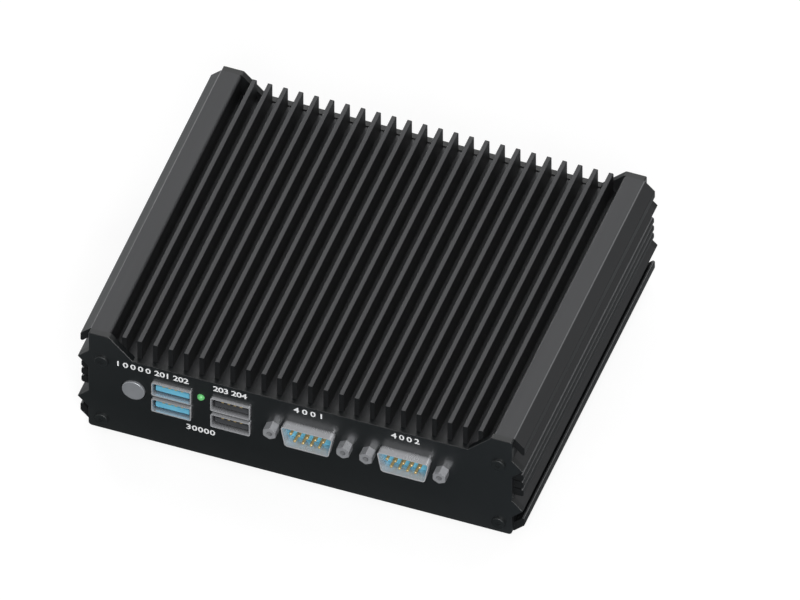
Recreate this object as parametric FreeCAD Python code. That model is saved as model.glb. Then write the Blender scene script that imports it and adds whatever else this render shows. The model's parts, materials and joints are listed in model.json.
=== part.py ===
"""Fanless industrial pc: finned aluminium case, end panels, connectors and inner boards.

Millimetres. X runs along the front panel to the right, Y goes from the front panel to the rear one,
Z is up. The origin is under the middle of the case, on the surface that the feet stand on.
"""

import FreeCAD
import Part
import math
import os

Vector = FreeCAD.Vector

# ---------------------------------------------------------------- construction
FUSE_OVERLAP = 0.1  # how far shapes that become one solid reach into each other
CUT_MARGIN = 1.0  # how far a cutter passes the faces that it cuts
HOLE_SPARE = 0.5  # hole bottom below the tip of what goes in
FIT_GAP = 0.05  # between pieces that slide together at assembly

# ---------------------------------------------------------------- case
CASE_WIDTH = 144.2  # across the flat side faces, without the ribs
CASE_DEPTH = 126.5  # over both end panels
CASE_HEIGHT = 42.2  # underside of the case to the tops of the corner rails
PANEL_THICKNESS = 2.2
PANEL_EDGE_BREAK = 0.15  # chamfer round the outer face of the end panels
FOOT_HEIGHT = 2.0
FOOT_RADIUS = 5.5
FOOT_TAPER = 0.6  # how much smaller the foot is on the floor
FOOT_INSET_X = 20.0  # foot centre from the side face
FOOT_INSET_Y = 15.0  # foot centre from the outer face of the end panel

# ---------------------------------------------------------------- heatsink extrusion
RAIL_WIDTH = 7.0  # flat top of each corner rail
RAIL_EDGE_RADIUS = 0.9
FIN_THICKNESS = 1.58
FIN_PITCH = 5.28
FIN_EDGE_RADIUS = 0.25
FIN_MARGIN = 4.2  # least distance from an end fin's middle to the rail
FIN_TOP_DROP = 0.4  # fin tops below the rail tops
FIN_HEIGHT = 8.1
BASE_PLATE = 3.6  # metal under the fins
SIDE_WALL = 3.8
LIP_PROJECTION = 3.5  # 45 degree flare of the top lip and the bottom flange
LIP_FACE = 3.8  # height of their outer face up to its sharp corner
LIP_RADIUS = 0.5
POINTED_RIB_PROJECTION = 3.75
POINTED_RIB_SPACING = 18.3  # between the two apexes on a side
POINTED_RIB_RADIUS = 0.25
ROUND_RIB_COUNT = 3
ROUND_RIB_PITCH = 3.48
ROUND_RIB_THICKNESS = 2.9
ROUND_RIB_NOSE_RADIUS = 0.9
ROUND_RIB_PROJECTION = 3.2
ROUND_RIB_SHIFT = 0.5  # middle rib above the case's mid height
ROOT_OVERLAP = 1.0  # how far fins and ribs reach into the wall that carries them
LOWER_BOSS_WIDTH = 8.5
LOWER_BOSS_HEIGHT = 6.0
UPPER_BOSS_WIDTH = 5.0
UPPER_BOSS_HEIGHT = 3.6

# ---------------------------------------------------------------- end panels and screws
PANEL_EDGE_ABOVE_FLOOR = 0.4  # straight top edge between the ears, above the fin floor
PANEL_CORNER_RADIUS = 1.3
PANEL_SCREW_INSET = 4.5  # from the side face
PANEL_SCREW_LOW = 4.35  # above the underside
PANEL_SCREW_ABOVE_CEILING = 0.8
PANEL_SCREW_HEAD_RADIUS = 2.35
PANEL_SCREW_HEAD_HEIGHT = 0.9
PANEL_SCREW_EDGE_RADIUS = 0.4
PANEL_SCREW_REACH = 8.0  # thread inside the extrusion
SMALL_SCREW_RADIUS = 1.2
THREAD_CLEARANCE = 0.05
PANEL_HOLE_CLEARANCE = 0.2
RECESS_WIDTH = 0.45
RECESS_SPAN = 1.8
RECESS_DEPTH = 0.25

# ---------------------------------------------------------------- bottom cover
COVER_THICKNESS = 2.0
COVER_CLEARANCE = 0.2
COVER_SCREW_FROM_END = 13.05  # from the end of the extrusion
COVER_SCREW_HEAD_RADIUS = 2.8
COVER_SCREW_HEAD_HEIGHT = 1.5
COVER_SCREW_REACH = 4.5
MOUNT_PITCH = 75.0  # square pattern for a wall or rail bracket
MOUNT_HOLE_RADIUS = 2.1

# ---------------------------------------------------------------- main board and its supports
BOARD_HEADROOM = 2.8  # between the network jacks and the finned plate
BOARD_THICKNESS = 1.6
BOARD_SIDE_GAP = 2.3  # to the side walls
BOARD_END_GAP = 1.5  # to the end panels
STANDOFF_FROM_BOSS = 5.8  # post centre from the lower boss
STANDOFF_FROM_END = 21.05  # post centre from the end of the extrusion
STANDOFF_ACROSS_FLATS = 5.5
BOARD_SCREW_HEAD_RADIUS = 2.4
BOARD_SCREW_HEAD_HEIGHT = 1.6
BOARD_SCREW_REACH = 5.0

# ---------------------------------------------------------------- power button
BUTTON_FROM_SIDE = 15.4  # button axis from the side face
BUTTON_RADIUS = 3.9
BUTTON_PROUD = 0.6
BUTTON_EDGE_RADIUS = 0.35
BUTTON_HOLE_CLEARANCE = 0.3
BUTTON_FLANGE_RADIUS = 4.9
BUTTON_FLANGE_THICKNESS = 0.8
BUTTON_REST_GAP = 0.3  # flange behind the panel
BUTTON_TRAVEL = 0.8
BUTTON_STEM_RADIUS = 1.5
BUTTON_STEM_CLEARANCE = 0.06
BUTTON_STEM_ENGAGEMENT = 3.5
SPRING_SPACE = 2.4  # free length between the flange and the switch housing
SPRING_WIRE_RADIUS = 0.2
SPRING_TURNS = 3
SPRING_RADIUS = 2.5
SWITCH_WIDTH = 10.0
SWITCH_DEPTH = 7.0
SWITCH_HEIGHT_OVER_AXIS = 4.6

# ---------------------------------------------------------------- status light
LIGHT_FROM_BUTTON = 22.9
LIGHT_ABOVE_AXIS = 4.7
LIGHT_RADIUS = 1.25
LIGHT_PROUD = 1.0
LIGHT_HOLE_CLEARANCE = 0.1
LIGHT_HOLDER_WIDTH = 4.6
LIGHT_HOLDER_DEPTH = 5.0
LIGHT_HOLDER_WALL = 0.8

# ---------------------------------------------------------------- stacked double sockets
CONNECTOR_AXIS_ABOVE_BOARD = 7.4
PORT_WIDTH = 13.45
PORT_HEIGHT = 5.75
PORT_PITCH = 7.3  # between the upper and the lower socket
PORT_PROUD = 1.0
PORT_SHEET = 0.35
PORT_CORNER_RADIUS = 0.6
PORT_CAVITY_DEPTH = 9.5
PORT_STACK_DEPTH = 17.5
PORT_PANEL_CLEARANCE = 0.15
TONGUE_WIDTH = 11.4
TONGUE_THICKNESS = 1.94
TONGUE_DROP = 0.68  # tongue middle below the socket's middle
TONGUE_RECESS = 1.5  # tongue front behind the rim
CONTACT_COUNT = 4
CONTACT_WIDTH = 0.85
CONTACT_PITCH = 2.08
CONTACT_THICKNESS = 0.25
CONTACT_SETBACK = 0.15
CONTACT_LENGTH = 6.5
BLUE_PORT_FROM_BUTTON = 13.1
GREY_PORT_FROM_BUTTON = 33.2

# ---------------------------------------------------------------- D-shaped connectors
SERIAL_PITCH = 32.8
SERIAL_ROOM_ON_LEFT = 0.282  # part of the free room that lies left of the pair
D_SHELL_WIDTH = 17.9
D_SHELL_HEIGHT = 8.6
D_SHELL_SLANT = 10.0  # degrees
D_SHELL_RADIUS = 1.2
D_SHELL_WALL = 0.45
D_SHELL_PROUD = 3.1
D_FLANGE_WIDTH = 30.8
D_FLANGE_HEIGHT = 12.5
D_FLANGE_THICKNESS = 0.8
D_FLANGE_RADIUS = 1.0
D_PANEL_CLEARANCE = 0.25
D_FLOOR_DEPTH = 1.6  # insulator face behind the panel's outer face
D_BLOCK_WIDTH = 19.0
D_BLOCK_DEPTH = 9.0
D_BLOCK_ABOVE_AXIS = 5.6
LONG_PIN_ROW = 5
SHORT_PIN_ROW = 4
PIN_RADIUS = 0.5
PIN_PITCH = 2.77
PIN_ROW_GAP = 2.84
PIN_PROUD = 2.9
PIN_TIP_CHAMFER = 0.25
LEAD_RADIUS = 0.35
LEAD_STEP = 1.6
JACKSCREW_SPACING = 24.99
JACKSCREW_ACROSS_FLATS = 4.2
JACKSCREW_LENGTH = 3.6
JACKSCREW_CHAMFER = 0.12
JACKSCREW_BORE_RADIUS = 1.0
JACKSCREW_BORE_DEPTH = 5.0
JACKSCREW_STUD_RADIUS = 1.55
JACKSCREW_STUD_REACH = 3.0
JACKSCREW_HOLE_CLEARANCE = 0.2
VIDEO_SHELL_WIDTH = 16.3
VIDEO_SHELL_HEIGHT = 7.9
VIDEO_FACE_RECESS = 0.3
VIDEO_ROW_HOLES = 5
VIDEO_SHIFT = 2.0  # from its place in the row towards the network jacks
VIDEO_HOLE_PITCH = 2.29
VIDEO_ROW_GAP = 1.98
VIDEO_HOLE_RADIUS = 0.55
VIDEO_HOLE_DEPTH = 5.0

# ---------------------------------------------------------------- other rear connectors
NETWORK_WIDTH = 16.0
NETWORK_HEIGHT = 13.4
NETWORK_DEPTH = 21.0
NETWORK_PROUD = 0.8
NETWORK_SHEET = 0.4
NETWORK_MOUTH_WIDTH = 11.8
NETWORK_MOUTH_HEIGHT = 7.0
NETWORK_MOUTH_DEPTH = 13.0
NETWORK_MOUTH_LIFT = 3.4  # mouth floor above the jack's underside
NETWORK_LATCH_WIDTH = 6.0
NETWORK_LATCH_DEPTH = 1.6
NETWORK_CONTACT_COUNT = 8
NETWORK_CONTACT_PITCH = 1.02
NETWORK_CONTACT_WIDTH = 0.4
NETWORK_CONTACT_RISE = 1.6
NETWORK_CONTACT_LENGTH = 8.0
FLAT_VIDEO_WIDTH = 15.2
FLAT_VIDEO_HEIGHT = 5.7
FLAT_VIDEO_LIFT = 0.5  # shell above the board
FLAT_VIDEO_BACK_WALL = 2.0
FLAT_VIDEO_BEVEL = 1.7
FLAT_VIDEO_PROUD = 0.6
FLAT_VIDEO_DEPTH = 12.0
FLAT_VIDEO_CAVITY_DEPTH = 7.0
FLAT_TONGUE_WIDTH = 11.0
FLAT_TONGUE_THICKNESS = 1.4
FLAT_TONGUE_RECESS = 1.2
DC_BARREL_RADIUS = 4.8
DC_BORE_RADIUS = 3.2
DC_BORE_DEPTH = 9.5
DC_PROUD = 2.8
DC_PIN_RADIUS = 1.25
DC_PIN_RECESS = 1.0
DC_BLOCK_WIDTH = 11.0
DC_BLOCK_DEPTH = 13.0
DC_NUT_ACROSS_FLATS = 12.5
DC_NUT_THICKNESS = 1.8
DC_HOLE_CLEARANCE = 0.2

# ---------------------------------------------------------------- parts on the main board
PROCESSOR_X = 12.0
PROCESSOR_Y = 0.0
PROCESSOR_SIDE = 31.0
PROCESSOR_HEIGHT = 2.0
PROCESSOR_LID_SIDE = 24.0
PROCESSOR_LID_HEIGHT = 1.2
PAD_SIDE = 24.0
PAD_THICKNESS = 0.5
SPREADER_SIDE = 46.0
SPREADER_SCREW_OFFSET = 18.5
SPREADER_SCREW_RADIUS = 1.4
SPREADER_HEAD_RADIUS = 2.6
SPREADER_HEAD_HEIGHT = 2.0
SPREADER_HEAD_POCKET = 3.0
SPREADER_SCREW_REACH = 2.6
MEMORY_X = -19.0  # contact edge of the memory module
MEMORY_WIDTH = 30.0
MEMORY_LENGTH = 69.6
MEMORY_LIFT = 2.6
CARD_THICKNESS = 1.2
CHIP_THICKNESS = 1.0
MEMORY_CHIP_COUNT = 4
CHIP_ROW_SHARE = 0.76  # part of its pitch that a chip fills
CHIP_MARGIN = 4.5  # chip from the card edge and from the socket
SOCKET_DEPTH = 6.0
SOCKET_HEIGHT = 4.6
SOCKET_OVERHANG = 1.6
SOCKET_GRIP = 3.5
STORAGE_Y = -22.0  # contact edge of the storage card
STORAGE_WIDTH = 22.0
STORAGE_LENGTH = 42.0
STORAGE_POST_RADIUS = 2.4
STORAGE_POST_INSET = 1.0
STORAGE_SCREW_HEAD_HEIGHT = 1.0
STORAGE_SCREW_TIP_GAP = 0.4  # tip above the board
COIN_CELL_X = 20.0
COIN_CELL_FROM_END = 25.05  # cell centre from the end of the extrusion
COIN_CELL_RADIUS = 10.0
COIN_CELL_THICKNESS = 3.2
COIN_HOLDER_WALL = 1.2
COIN_HOLDER_FLOOR = 0.8
COIN_CELL_SHOWS = 0.64  # cell above its holder
COIL_COUNT = 3
COIL_SIDE = 7.0
COIL_HEIGHT = 4.0
COIL_PITCH = 10.0
COIL_Y = 29.0
CAPACITOR_COUNT = 4
CAPACITOR_RADIUS = 3.0
CAPACITOR_HEIGHT = 7.0
CAPACITOR_PITCH = 8.5
CAPACITOR_Y = 37.5

# ---------------------------------------------------------------- places worked out from the sizes
def spaced_row(widths, left, right):
    """Middles of the pieces of a row, with the same gap between them and at both ends."""
    gap = (right - left - sum(widths)) / (len(widths) + 1)
    middles = []
    edge = left
    for width in widths:
        middles.append(edge + gap + width / 2)
        edge += gap + width
    return middles


HALF_WIDTH = CASE_WIDTH / 2
BASE_Z = FOOT_HEIGHT
TOP_Z = BASE_Z + CASE_HEIGHT
MIDDLE_Z = BASE_Z + CASE_HEIGHT / 2
FRONT_Y = -CASE_DEPTH / 2
PANEL_BACK_Y = FRONT_Y + PANEL_THICKNESS
BODY_LENGTH = CASE_DEPTH - 2 * PANEL_THICKNESS
RAIL_INNER_X = HALF_WIDTH - RAIL_WIDTH
FIN_TOP_Z = TOP_Z - FIN_TOP_DROP
FIN_FLOOR_Z = FIN_TOP_Z - FIN_HEIGHT
CEILING_Z = FIN_FLOOR_Z - BASE_PLATE
CAVITY_HALF = HALF_WIDTH - SIDE_WALL
COVER_TOP_Z = BASE_Z + COVER_THICKNESS
COVER_HALF = CAVITY_HALF - COVER_CLEARANCE
COVER_SCREW_X = CAVITY_HALF - LOWER_BOSS_WIDTH / 2
COVER_SCREW_Y = BODY_LENGTH / 2 - COVER_SCREW_FROM_END
STANDOFF_X = CAVITY_HALF - LOWER_BOSS_WIDTH - STANDOFF_FROM_BOSS
STANDOFF_Y = BODY_LENGTH / 2 - STANDOFF_FROM_END
BOSS_FACE_X = CAVITY_HALF - UPPER_BOSS_WIDTH
BOARD_TOP_Z = CEILING_Z - BOARD_HEADROOM - NETWORK_HEIGHT
BOARD_BOTTOM_Z = BOARD_TOP_Z - BOARD_THICKNESS
AXIS_Z = BOARD_TOP_Z + CONNECTOR_AXIS_ABOVE_BOARD
BUTTON_X = BUTTON_FROM_SIDE - HALF_WIDTH
LIGHT_X = BUTTON_X + LIGHT_FROM_BUTTON
BLUE_PORT_X = BUTTON_X + BLUE_PORT_FROM_BUTTON
GREY_PORT_X = BUTTON_X + GREY_PORT_FROM_BUTTON
FRONT_PORTS = {"blue_port": BLUE_PORT_X, "grey_port": GREY_PORT_X}
SERIAL_ROOM_X = GREY_PORT_X + PORT_WIDTH / 2
SERIAL_ROOM = BOSS_FACE_X - SERIAL_ROOM_X - SERIAL_PITCH - D_FLANGE_WIDTH
SERIAL_1_X = SERIAL_ROOM_X + SERIAL_ROOM_ON_LEFT * SERIAL_ROOM + D_FLANGE_WIDTH / 2
SERIAL_POSITIONS = {"serial_1": SERIAL_1_X, "serial_2": SERIAL_1_X + SERIAL_PITCH}
REAR_WIDTHS = [DC_BLOCK_WIDTH, FLAT_VIDEO_WIDTH, D_FLANGE_WIDTH, NETWORK_WIDTH, NETWORK_WIDTH, PORT_WIDTH]
REAR_ROW = spaced_row(REAR_WIDTHS, -BOSS_FACE_X, BOSS_FACE_X)
DC_X, FLAT_VIDEO_X, VIDEO_PLACE_X, NETWORK_1_X, NETWORK_2_X, REAR_PORT_X = REAR_ROW
VIDEO_X = VIDEO_PLACE_X + VIDEO_SHIFT
NETWORK_POSITIONS = {"network_1": NETWORK_1_X, "network_2": NETWORK_2_X}
REAR_PORTS = {"rear_port": REAR_PORT_X}
BUTTON_FLANGE_Y = PANEL_BACK_Y + BUTTON_REST_GAP
SPRING_START_Y = BUTTON_FLANGE_Y + BUTTON_FLANGE_THICKNESS
SWITCH_FRONT_Y = SPRING_START_Y + SPRING_SPACE
THREAD_RADIUS = SMALL_SCREW_RADIUS + THREAD_CLEARANCE
PAD_TOP_Z = BOARD_TOP_Z + PROCESSOR_HEIGHT + PROCESSOR_LID_HEIGHT + PAD_THICKNESS
SPREADER_THREAD_RADIUS = SPREADER_SCREW_RADIUS + THREAD_CLEARANCE
SPREADER_HEAD_Z = CEILING_Z - SPREADER_HEAD_POCKET
STACK_TOP_Z = AXIS_Z + PORT_PITCH / 2 + PORT_HEIGHT / 2
STORAGE_X = (PROCESSOR_X + SPREADER_SIDE / 2 + CAVITY_HALF) / 2  # between the spreader and the wall
COIN_CELL_Y = COIN_CELL_FROM_END - BODY_LENGTH / 2
D_BLOCK_FRONT_Y = PANEL_BACK_Y + D_FLANGE_THICKNESS
D_BLOCK_BACK_Y = D_BLOCK_FRONT_Y + D_BLOCK_DEPTH


# ---------------------------------------------------------------- shape helpers
def block(x0, x1, y0, y1, z0, z1):
    """A box between two corners."""
    return Part.makeBox(x1 - x0, y1 - y0, z1 - z0, Vector(x0, y0, z0))


def wide_block(x, width, y0, y1, z0, z1):
    """A box centred on x."""
    return block(x - width / 2, x + width / 2, y0, y1, z0, z1)


def rod_y(radius, x, z, y0, y1):
    return Part.makeCylinder(radius, y1 - y0, Vector(x, y0, z), Vector(0, 1, 0))


def rod_z(radius, x, y, z0, z1):
    return Part.makeCylinder(radius, z1 - z0, Vector(x, y, z0), Vector(0, 0, 1))


def corner_arc(before, corner, after, radius):
    """The start, middle and end of the arc that rounds a corner."""
    back = (before - corner).normalize()
    ahead = (after - corner).normalize()
    half_angle = back.getAngle(ahead) / 2
    reach = radius / math.tan(half_angle)
    middle = (back + ahead).normalize() * (radius / math.sin(half_angle) - radius)
    return corner + back * reach, corner + middle, corner + ahead * reach


def outline_wire(points, y):
    """A closed outline in the plane at y, from (x, z) or (x, z, corner radius) points."""
    corners = [Vector(point[0], y, point[1]) for point in points]
    radii = [point[2] if len(point) > 2 else 0 for point in points]
    count = len(corners)
    edges = []
    first = None
    last = None
    for index in range(count):
        corner = corners[index]
        start = corner
        end = corner
        arc = None
        if radii[index] > 0:
            before = corners[index - 1]
            after = corners[(index + 1) % count]
            start, middle, end = corner_arc(before, corner, after, radii[index])
            arc = Part.Arc(start, middle, end).toShape()
        if last is None:
            first = start
        elif (start - last).Length > 1e-6:
            edges.append(Part.makeLine(last, start))
        if arc is not None:
            edges.append(arc)
        last = end
    if (first - last).Length > 1e-6:
        edges.append(Part.makeLine(last, first))
    return Part.Wire(edges)


def prism(points, y0, y1):
    """The outline carried from y0 to y1."""
    return Part.Face(outline_wire(points, y0)).extrude(Vector(0, y1 - y0, 0))


def mirror_x(points):
    """The same outline points on the other side, in reverse order."""
    return [(-point[0],) + tuple(point[1:]) for point in reversed(points)]


def rectangle(x, z, width, height, radius):
    half_w = width / 2
    half_h = height / 2
    signs = [(-1, -1), (1, -1), (1, 1), (-1, 1)]
    return [(x + sx * half_w, z + sz * half_h, radius) for sx, sz in signs]


def hexagon(x, z, across_flats):
    """A hexagon with two upright sides."""
    reach = across_flats / math.sqrt(3)
    angles = [math.radians(30 + 60 * step) for step in range(6)]
    return [(x + reach * math.cos(angle), z + reach * math.sin(angle)) for angle in angles]


def d_outline(x, width, height, radius):
    """The D shape of a connector shell, wide side up."""
    half_w = width / 2
    half_h = height / 2
    slant = height * math.tan(math.radians(D_SHELL_SLANT))
    return [
        (x - half_w + slant, AXIS_Z - half_h, radius),
        (x + half_w - slant, AXIS_Z - half_h, radius),
        (x + half_w, AXIS_Z + half_h, radius),
        (x - half_w, AXIS_Z + half_h, radius),
    ]


def inset_d(x, width, height, inset):
    """The D outline moved inwards by one distance all round."""
    radius = D_SHELL_RADIUS - inset
    slant = math.radians(D_SHELL_SLANT)
    narrowing = 2 * inset / math.cos(slant) + 2 * inset * math.tan(slant)
    taper = 2 * inset * math.tan(slant)
    return d_outline(x, width - narrowing + taper, height - 2 * inset, radius)


def evenly(count, pitch):
    """Positions of a row that is centred on zero."""
    return [(index - (count - 1) / 2) * pitch for index in range(count)]


def both_sides(distance):
    return (-distance, distance)


def four_corners(half_x, half_y):
    return [(x, y) for x in both_sides(half_x) for y in both_sides(half_y)]


def joined(shapes):
    """One solid from touching or overlapping shapes."""
    return shapes[0].multiFuse(shapes[1:]).removeSplitter()


def grouped(shapes):
    """Separate solids that share a node."""
    return Part.makeCompound(shapes)


def to_rear(shape):
    """A piece built at the front panel, turned round to the rear panel."""
    turned = shape.copy()
    turned.rotate(Vector(0, 0, 0), Vector(0, 0, 1), 180)
    return turned


# ---------------------------------------------------------------- heatsink extrusion and panels
def case_outline():
    """The extrusion's outer section: base, flared flanges and lips, rails and fin floor."""
    flare = HALF_WIDTH + LIP_PROJECTION
    low_face = BASE_Z + LIP_PROJECTION
    high_face = TOP_Z - LIP_PROJECTION
    right = [
        (HALF_WIDTH, BASE_Z, LIP_RADIUS),
        (flare, low_face, LIP_RADIUS),
        (flare, low_face + LIP_FACE, LIP_RADIUS),
        (HALF_WIDTH, low_face + LIP_FACE - LIP_PROJECTION),
        (HALF_WIDTH, high_face - LIP_FACE + LIP_PROJECTION),
        (flare, high_face - LIP_FACE, LIP_RADIUS),
        (flare, high_face, LIP_RADIUS),
        (HALF_WIDTH, TOP_Z, RAIL_EDGE_RADIUS),
        (RAIL_INNER_X, TOP_Z, RAIL_EDGE_RADIUS),
        (RAIL_INNER_X, FIN_FLOOR_Z),
    ]
    return right + mirror_x(right)


def pointed_ribs(y0, y1):
    """The two pointed ribs on each side, with their apexes outwards."""
    ribs = []
    for z in (MIDDLE_Z - POINTED_RIB_SPACING / 2, MIDDLE_Z + POINTED_RIB_SPACING / 2):
        reach = POINTED_RIB_PROJECTION
        section = [
            (HALF_WIDTH - ROOT_OVERLAP, z - reach - ROOT_OVERLAP),
            (HALF_WIDTH + reach, z, POINTED_RIB_RADIUS),
            (HALF_WIDTH - ROOT_OVERLAP, z + reach + ROOT_OVERLAP),
        ]
        ribs.append(prism(section, y0, y1))
        ribs.append(prism(mirror_x(section), y0, y1))
    return ribs


def round_ribs(y0, y1):
    """The row of small round-nosed ribs between the pointed ones, on each side."""
    ribs = []
    nose = ROUND_RIB_NOSE_RADIUS
    for offset in evenly(ROUND_RIB_COUNT, ROUND_RIB_PITCH):
        z = MIDDLE_Z + ROUND_RIB_SHIFT + offset
        half = ROUND_RIB_THICKNESS / 2
        section = [
            (HALF_WIDTH - ROOT_OVERLAP, z - half),
            (HALF_WIDTH + ROUND_RIB_PROJECTION, z - half, nose),
            (HALF_WIDTH + ROUND_RIB_PROJECTION, z + half, nose),
            (HALF_WIDTH - ROOT_OVERLAP, z + half),
        ]
        ribs.append(prism(section, y0, y1))
        ribs.append(prism(mirror_x(section), y0, y1))
    return ribs


def fins(y0, y1):
    """The row of upright fins between the rails."""
    room = 2 * (RAIL_INNER_X - FIN_MARGIN)
    count = int(room / FIN_PITCH) + 1
    half = FIN_THICKNESS / 2
    row = []
    for x in evenly(count, FIN_PITCH):
        section = [
            (x - half, FIN_FLOOR_Z - ROOT_OVERLAP),
            (x + half, FIN_FLOOR_Z - ROOT_OVERLAP),
            (x + half, FIN_TOP_Z, FIN_EDGE_RADIUS),
            (x - half, FIN_TOP_Z, FIN_EDGE_RADIUS),
        ]
        row.append(prism(section, y0, y1))
    return row


def panel_screw_places():
    """The (x, z) centres of an end panel's four screws."""
    heights = (BASE_Z + PANEL_SCREW_LOW, CEILING_Z + PANEL_SCREW_ABOVE_CEILING)
    return [(x, z) for x in both_sides(HALF_WIDTH - PANEL_SCREW_INSET) for z in heights]


def spreader_screw_places():
    corners = four_corners(SPREADER_SCREW_OFFSET, SPREADER_SCREW_OFFSET)
    return [(PROCESSOR_X + x, PROCESSOR_Y + y) for x, y in corners]


def heatsink_body():
    y0 = -BODY_LENGTH / 2
    y1 = BODY_LENGTH / 2
    case = prism(case_outline(), y0, y1)
    case = case.cut(block(-CAVITY_HALF, CAVITY_HALF, y0, y1, BASE_Z, CEILING_Z))
    bosses = []
    for side in (-1, 1):
        wall_x = side * (CAVITY_HALF + ROOT_OVERLAP)
        low_x = side * (CAVITY_HALF - LOWER_BOSS_WIDTH)
        high_x = side * BOSS_FACE_X
        low_top = COVER_TOP_Z + LOWER_BOSS_HEIGHT
        bosses.append(block(min(low_x, wall_x), max(low_x, wall_x), y0, y1, COVER_TOP_Z, low_top))
        boss_bottom = CEILING_Z - UPPER_BOSS_HEIGHT
        boss_top = CEILING_Z + ROOT_OVERLAP
        bosses.append(block(min(high_x, wall_x), max(high_x, wall_x), y0, y1, boss_bottom, boss_top))
    added = bosses + pointed_ribs(y0, y1) + round_ribs(y0, y1) + fins(y0, y1)
    body = joined([case] + added)
    holes = []
    for x, z in panel_screw_places():
        holes.append(rod_y(THREAD_RADIUS, x, z, y0, y0 + PANEL_SCREW_REACH + HOLE_SPARE))
        holes.append(rod_y(THREAD_RADIUS, x, z, y1 - PANEL_SCREW_REACH - HOLE_SPARE, y1))
    for x, y in four_corners(COVER_SCREW_X, COVER_SCREW_Y):
        top = COVER_TOP_Z + COVER_SCREW_REACH + HOLE_SPARE
        holes.append(rod_z(THREAD_RADIUS, x, y, COVER_TOP_Z, top))
    for x, y in spreader_screw_places():
        top = CEILING_Z + SPREADER_SCREW_REACH + HOLE_SPARE
        holes.append(rod_z(SPREADER_THREAD_RADIUS, x, y, CEILING_Z, top))
    return body.cut(grouped(holes))


def panel_plate():
    """The plain end plate, built at the front, with ears over the pointed ribs."""
    edge_z = FIN_FLOOR_Z + PANEL_EDGE_ABOVE_FLOOR
    slope_end_x = RAIL_INNER_X - (TOP_Z - edge_z)
    right = [
        (HALF_WIDTH, BASE_Z, PANEL_CORNER_RADIUS),
        (HALF_WIDTH, TOP_Z, RAIL_EDGE_RADIUS / 2),
        (RAIL_INNER_X, TOP_Z, RAIL_EDGE_RADIUS),
        (slope_end_x, edge_z),
    ]
    plate = prism(right + mirror_x(right), FRONT_Y, PANEL_BACK_Y)
    plate = joined([plate] + pointed_ribs(FRONT_Y, PANEL_BACK_Y))
    front_face = min(plate.Faces, key=lambda face: face.CenterOfMass.y)
    return plate.makeChamfer(PANEL_EDGE_BREAK, front_face.OuterWire.Edges)


def through_panel(points):
    """A cutter for a shaped opening in the panel."""
    return prism(points, FRONT_Y - CUT_MARGIN, PANEL_BACK_Y + CUT_MARGIN)


def panel_bore(radius, x, z):
    """A cutter for a round hole in the panel."""
    return rod_y(radius, x, z, FRONT_Y - CUT_MARGIN, PANEL_BACK_Y + CUT_MARGIN)


def screw_cutters():
    radius = SMALL_SCREW_RADIUS + PANEL_HOLE_CLEARANCE
    return [panel_bore(radius, x, z) for x, z in panel_screw_places()]


def port_cutters(x):
    grow = 2 * PORT_PANEL_CLEARANCE
    radius = PORT_CORNER_RADIUS + PORT_PANEL_CLEARANCE
    size = (PORT_WIDTH + grow, PORT_HEIGHT + grow)
    return [through_panel(rectangle(x, z, *size, radius)) for z in port_heights()]


def d_cutters(x, width, height):
    cutters = [through_panel(inset_d(x, width, height, -D_PANEL_CLEARANCE))]
    radius = JACKSCREW_STUD_RADIUS + JACKSCREW_HOLE_CLEARANCE
    for offset in both_sides(JACKSCREW_SPACING / 2):
        cutters.append(panel_bore(radius, x + offset, AXIS_Z))
    return cutters


def front_panel():
    cutters = screw_cutters()
    for x in FRONT_PORTS.values():
        cutters += port_cutters(x)
    for x in SERIAL_POSITIONS.values():
        cutters += d_cutters(x, D_SHELL_WIDTH, D_SHELL_HEIGHT)
    cutters.append(panel_bore(BUTTON_RADIUS + BUTTON_HOLE_CLEARANCE, BUTTON_X, AXIS_Z))
    light_z = AXIS_Z + LIGHT_ABOVE_AXIS
    cutters.append(panel_bore(LIGHT_RADIUS + LIGHT_HOLE_CLEARANCE, LIGHT_X, light_z))
    return panel_plate().cut(grouped(cutters))


def rear_panel():
    """The rear plate. It is built like the front one and then turned round."""
    cutters = screw_cutters()
    for x in REAR_PORTS.values():
        cutters += port_cutters(x)
    cutters += d_cutters(VIDEO_X, VIDEO_SHELL_WIDTH, VIDEO_SHELL_HEIGHT)
    grow = 2 * PORT_PANEL_CLEARANCE
    for x in NETWORK_POSITIONS.values():
        size = (NETWORK_WIDTH + grow, NETWORK_HEIGHT + grow)
        middle_z = BOARD_TOP_Z + NETWORK_HEIGHT / 2
        cutters.append(through_panel(rectangle(x, middle_z, *size, PORT_PANEL_CLEARANCE)))
    cutters.append(through_panel(flat_video_outline(-PORT_PANEL_CLEARANCE)))
    cutters.append(panel_bore(DC_BARREL_RADIUS + DC_HOLE_CLEARANCE, DC_X, AXIS_Z))
    return to_rear(panel_plate().cut(grouped(cutters)))


def cross_recess(x, z, face_y):
    """A cutter for the cross in a screw head that faces the front."""
    half = RECESS_SPAN / 2
    arm = RECESS_WIDTH / 2
    across = block(x - half, x + half, face_y, face_y + RECESS_DEPTH, z - arm, z + arm)
    upright = block(x - arm, x + arm, face_y, face_y + RECESS_DEPTH, z - half, z + half)
    return across.fuse(upright)


def panel_screw(x, z):
    face_y = FRONT_Y - PANEL_SCREW_HEAD_HEIGHT
    head = rod_y(PANEL_SCREW_HEAD_RADIUS, x, z, face_y, FRONT_Y)
    rim = [edge for edge in head.Edges if abs(edge.CenterOfMass.y - face_y) < 1e-6]
    head = head.makeFillet(PANEL_SCREW_EDGE_RADIUS, rim)
    tip_y = PANEL_BACK_Y + PANEL_SCREW_REACH
    shank = rod_y(SMALL_SCREW_RADIUS, x, z, FRONT_Y - FUSE_OVERLAP, tip_y)
    return joined([head, shank]).cut(cross_recess(x, z, face_y))


def panel_screws():
    front = [panel_screw(x, z) for x, z in panel_screw_places()]
    return grouped(front + [to_rear(screw) for screw in front])


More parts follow.
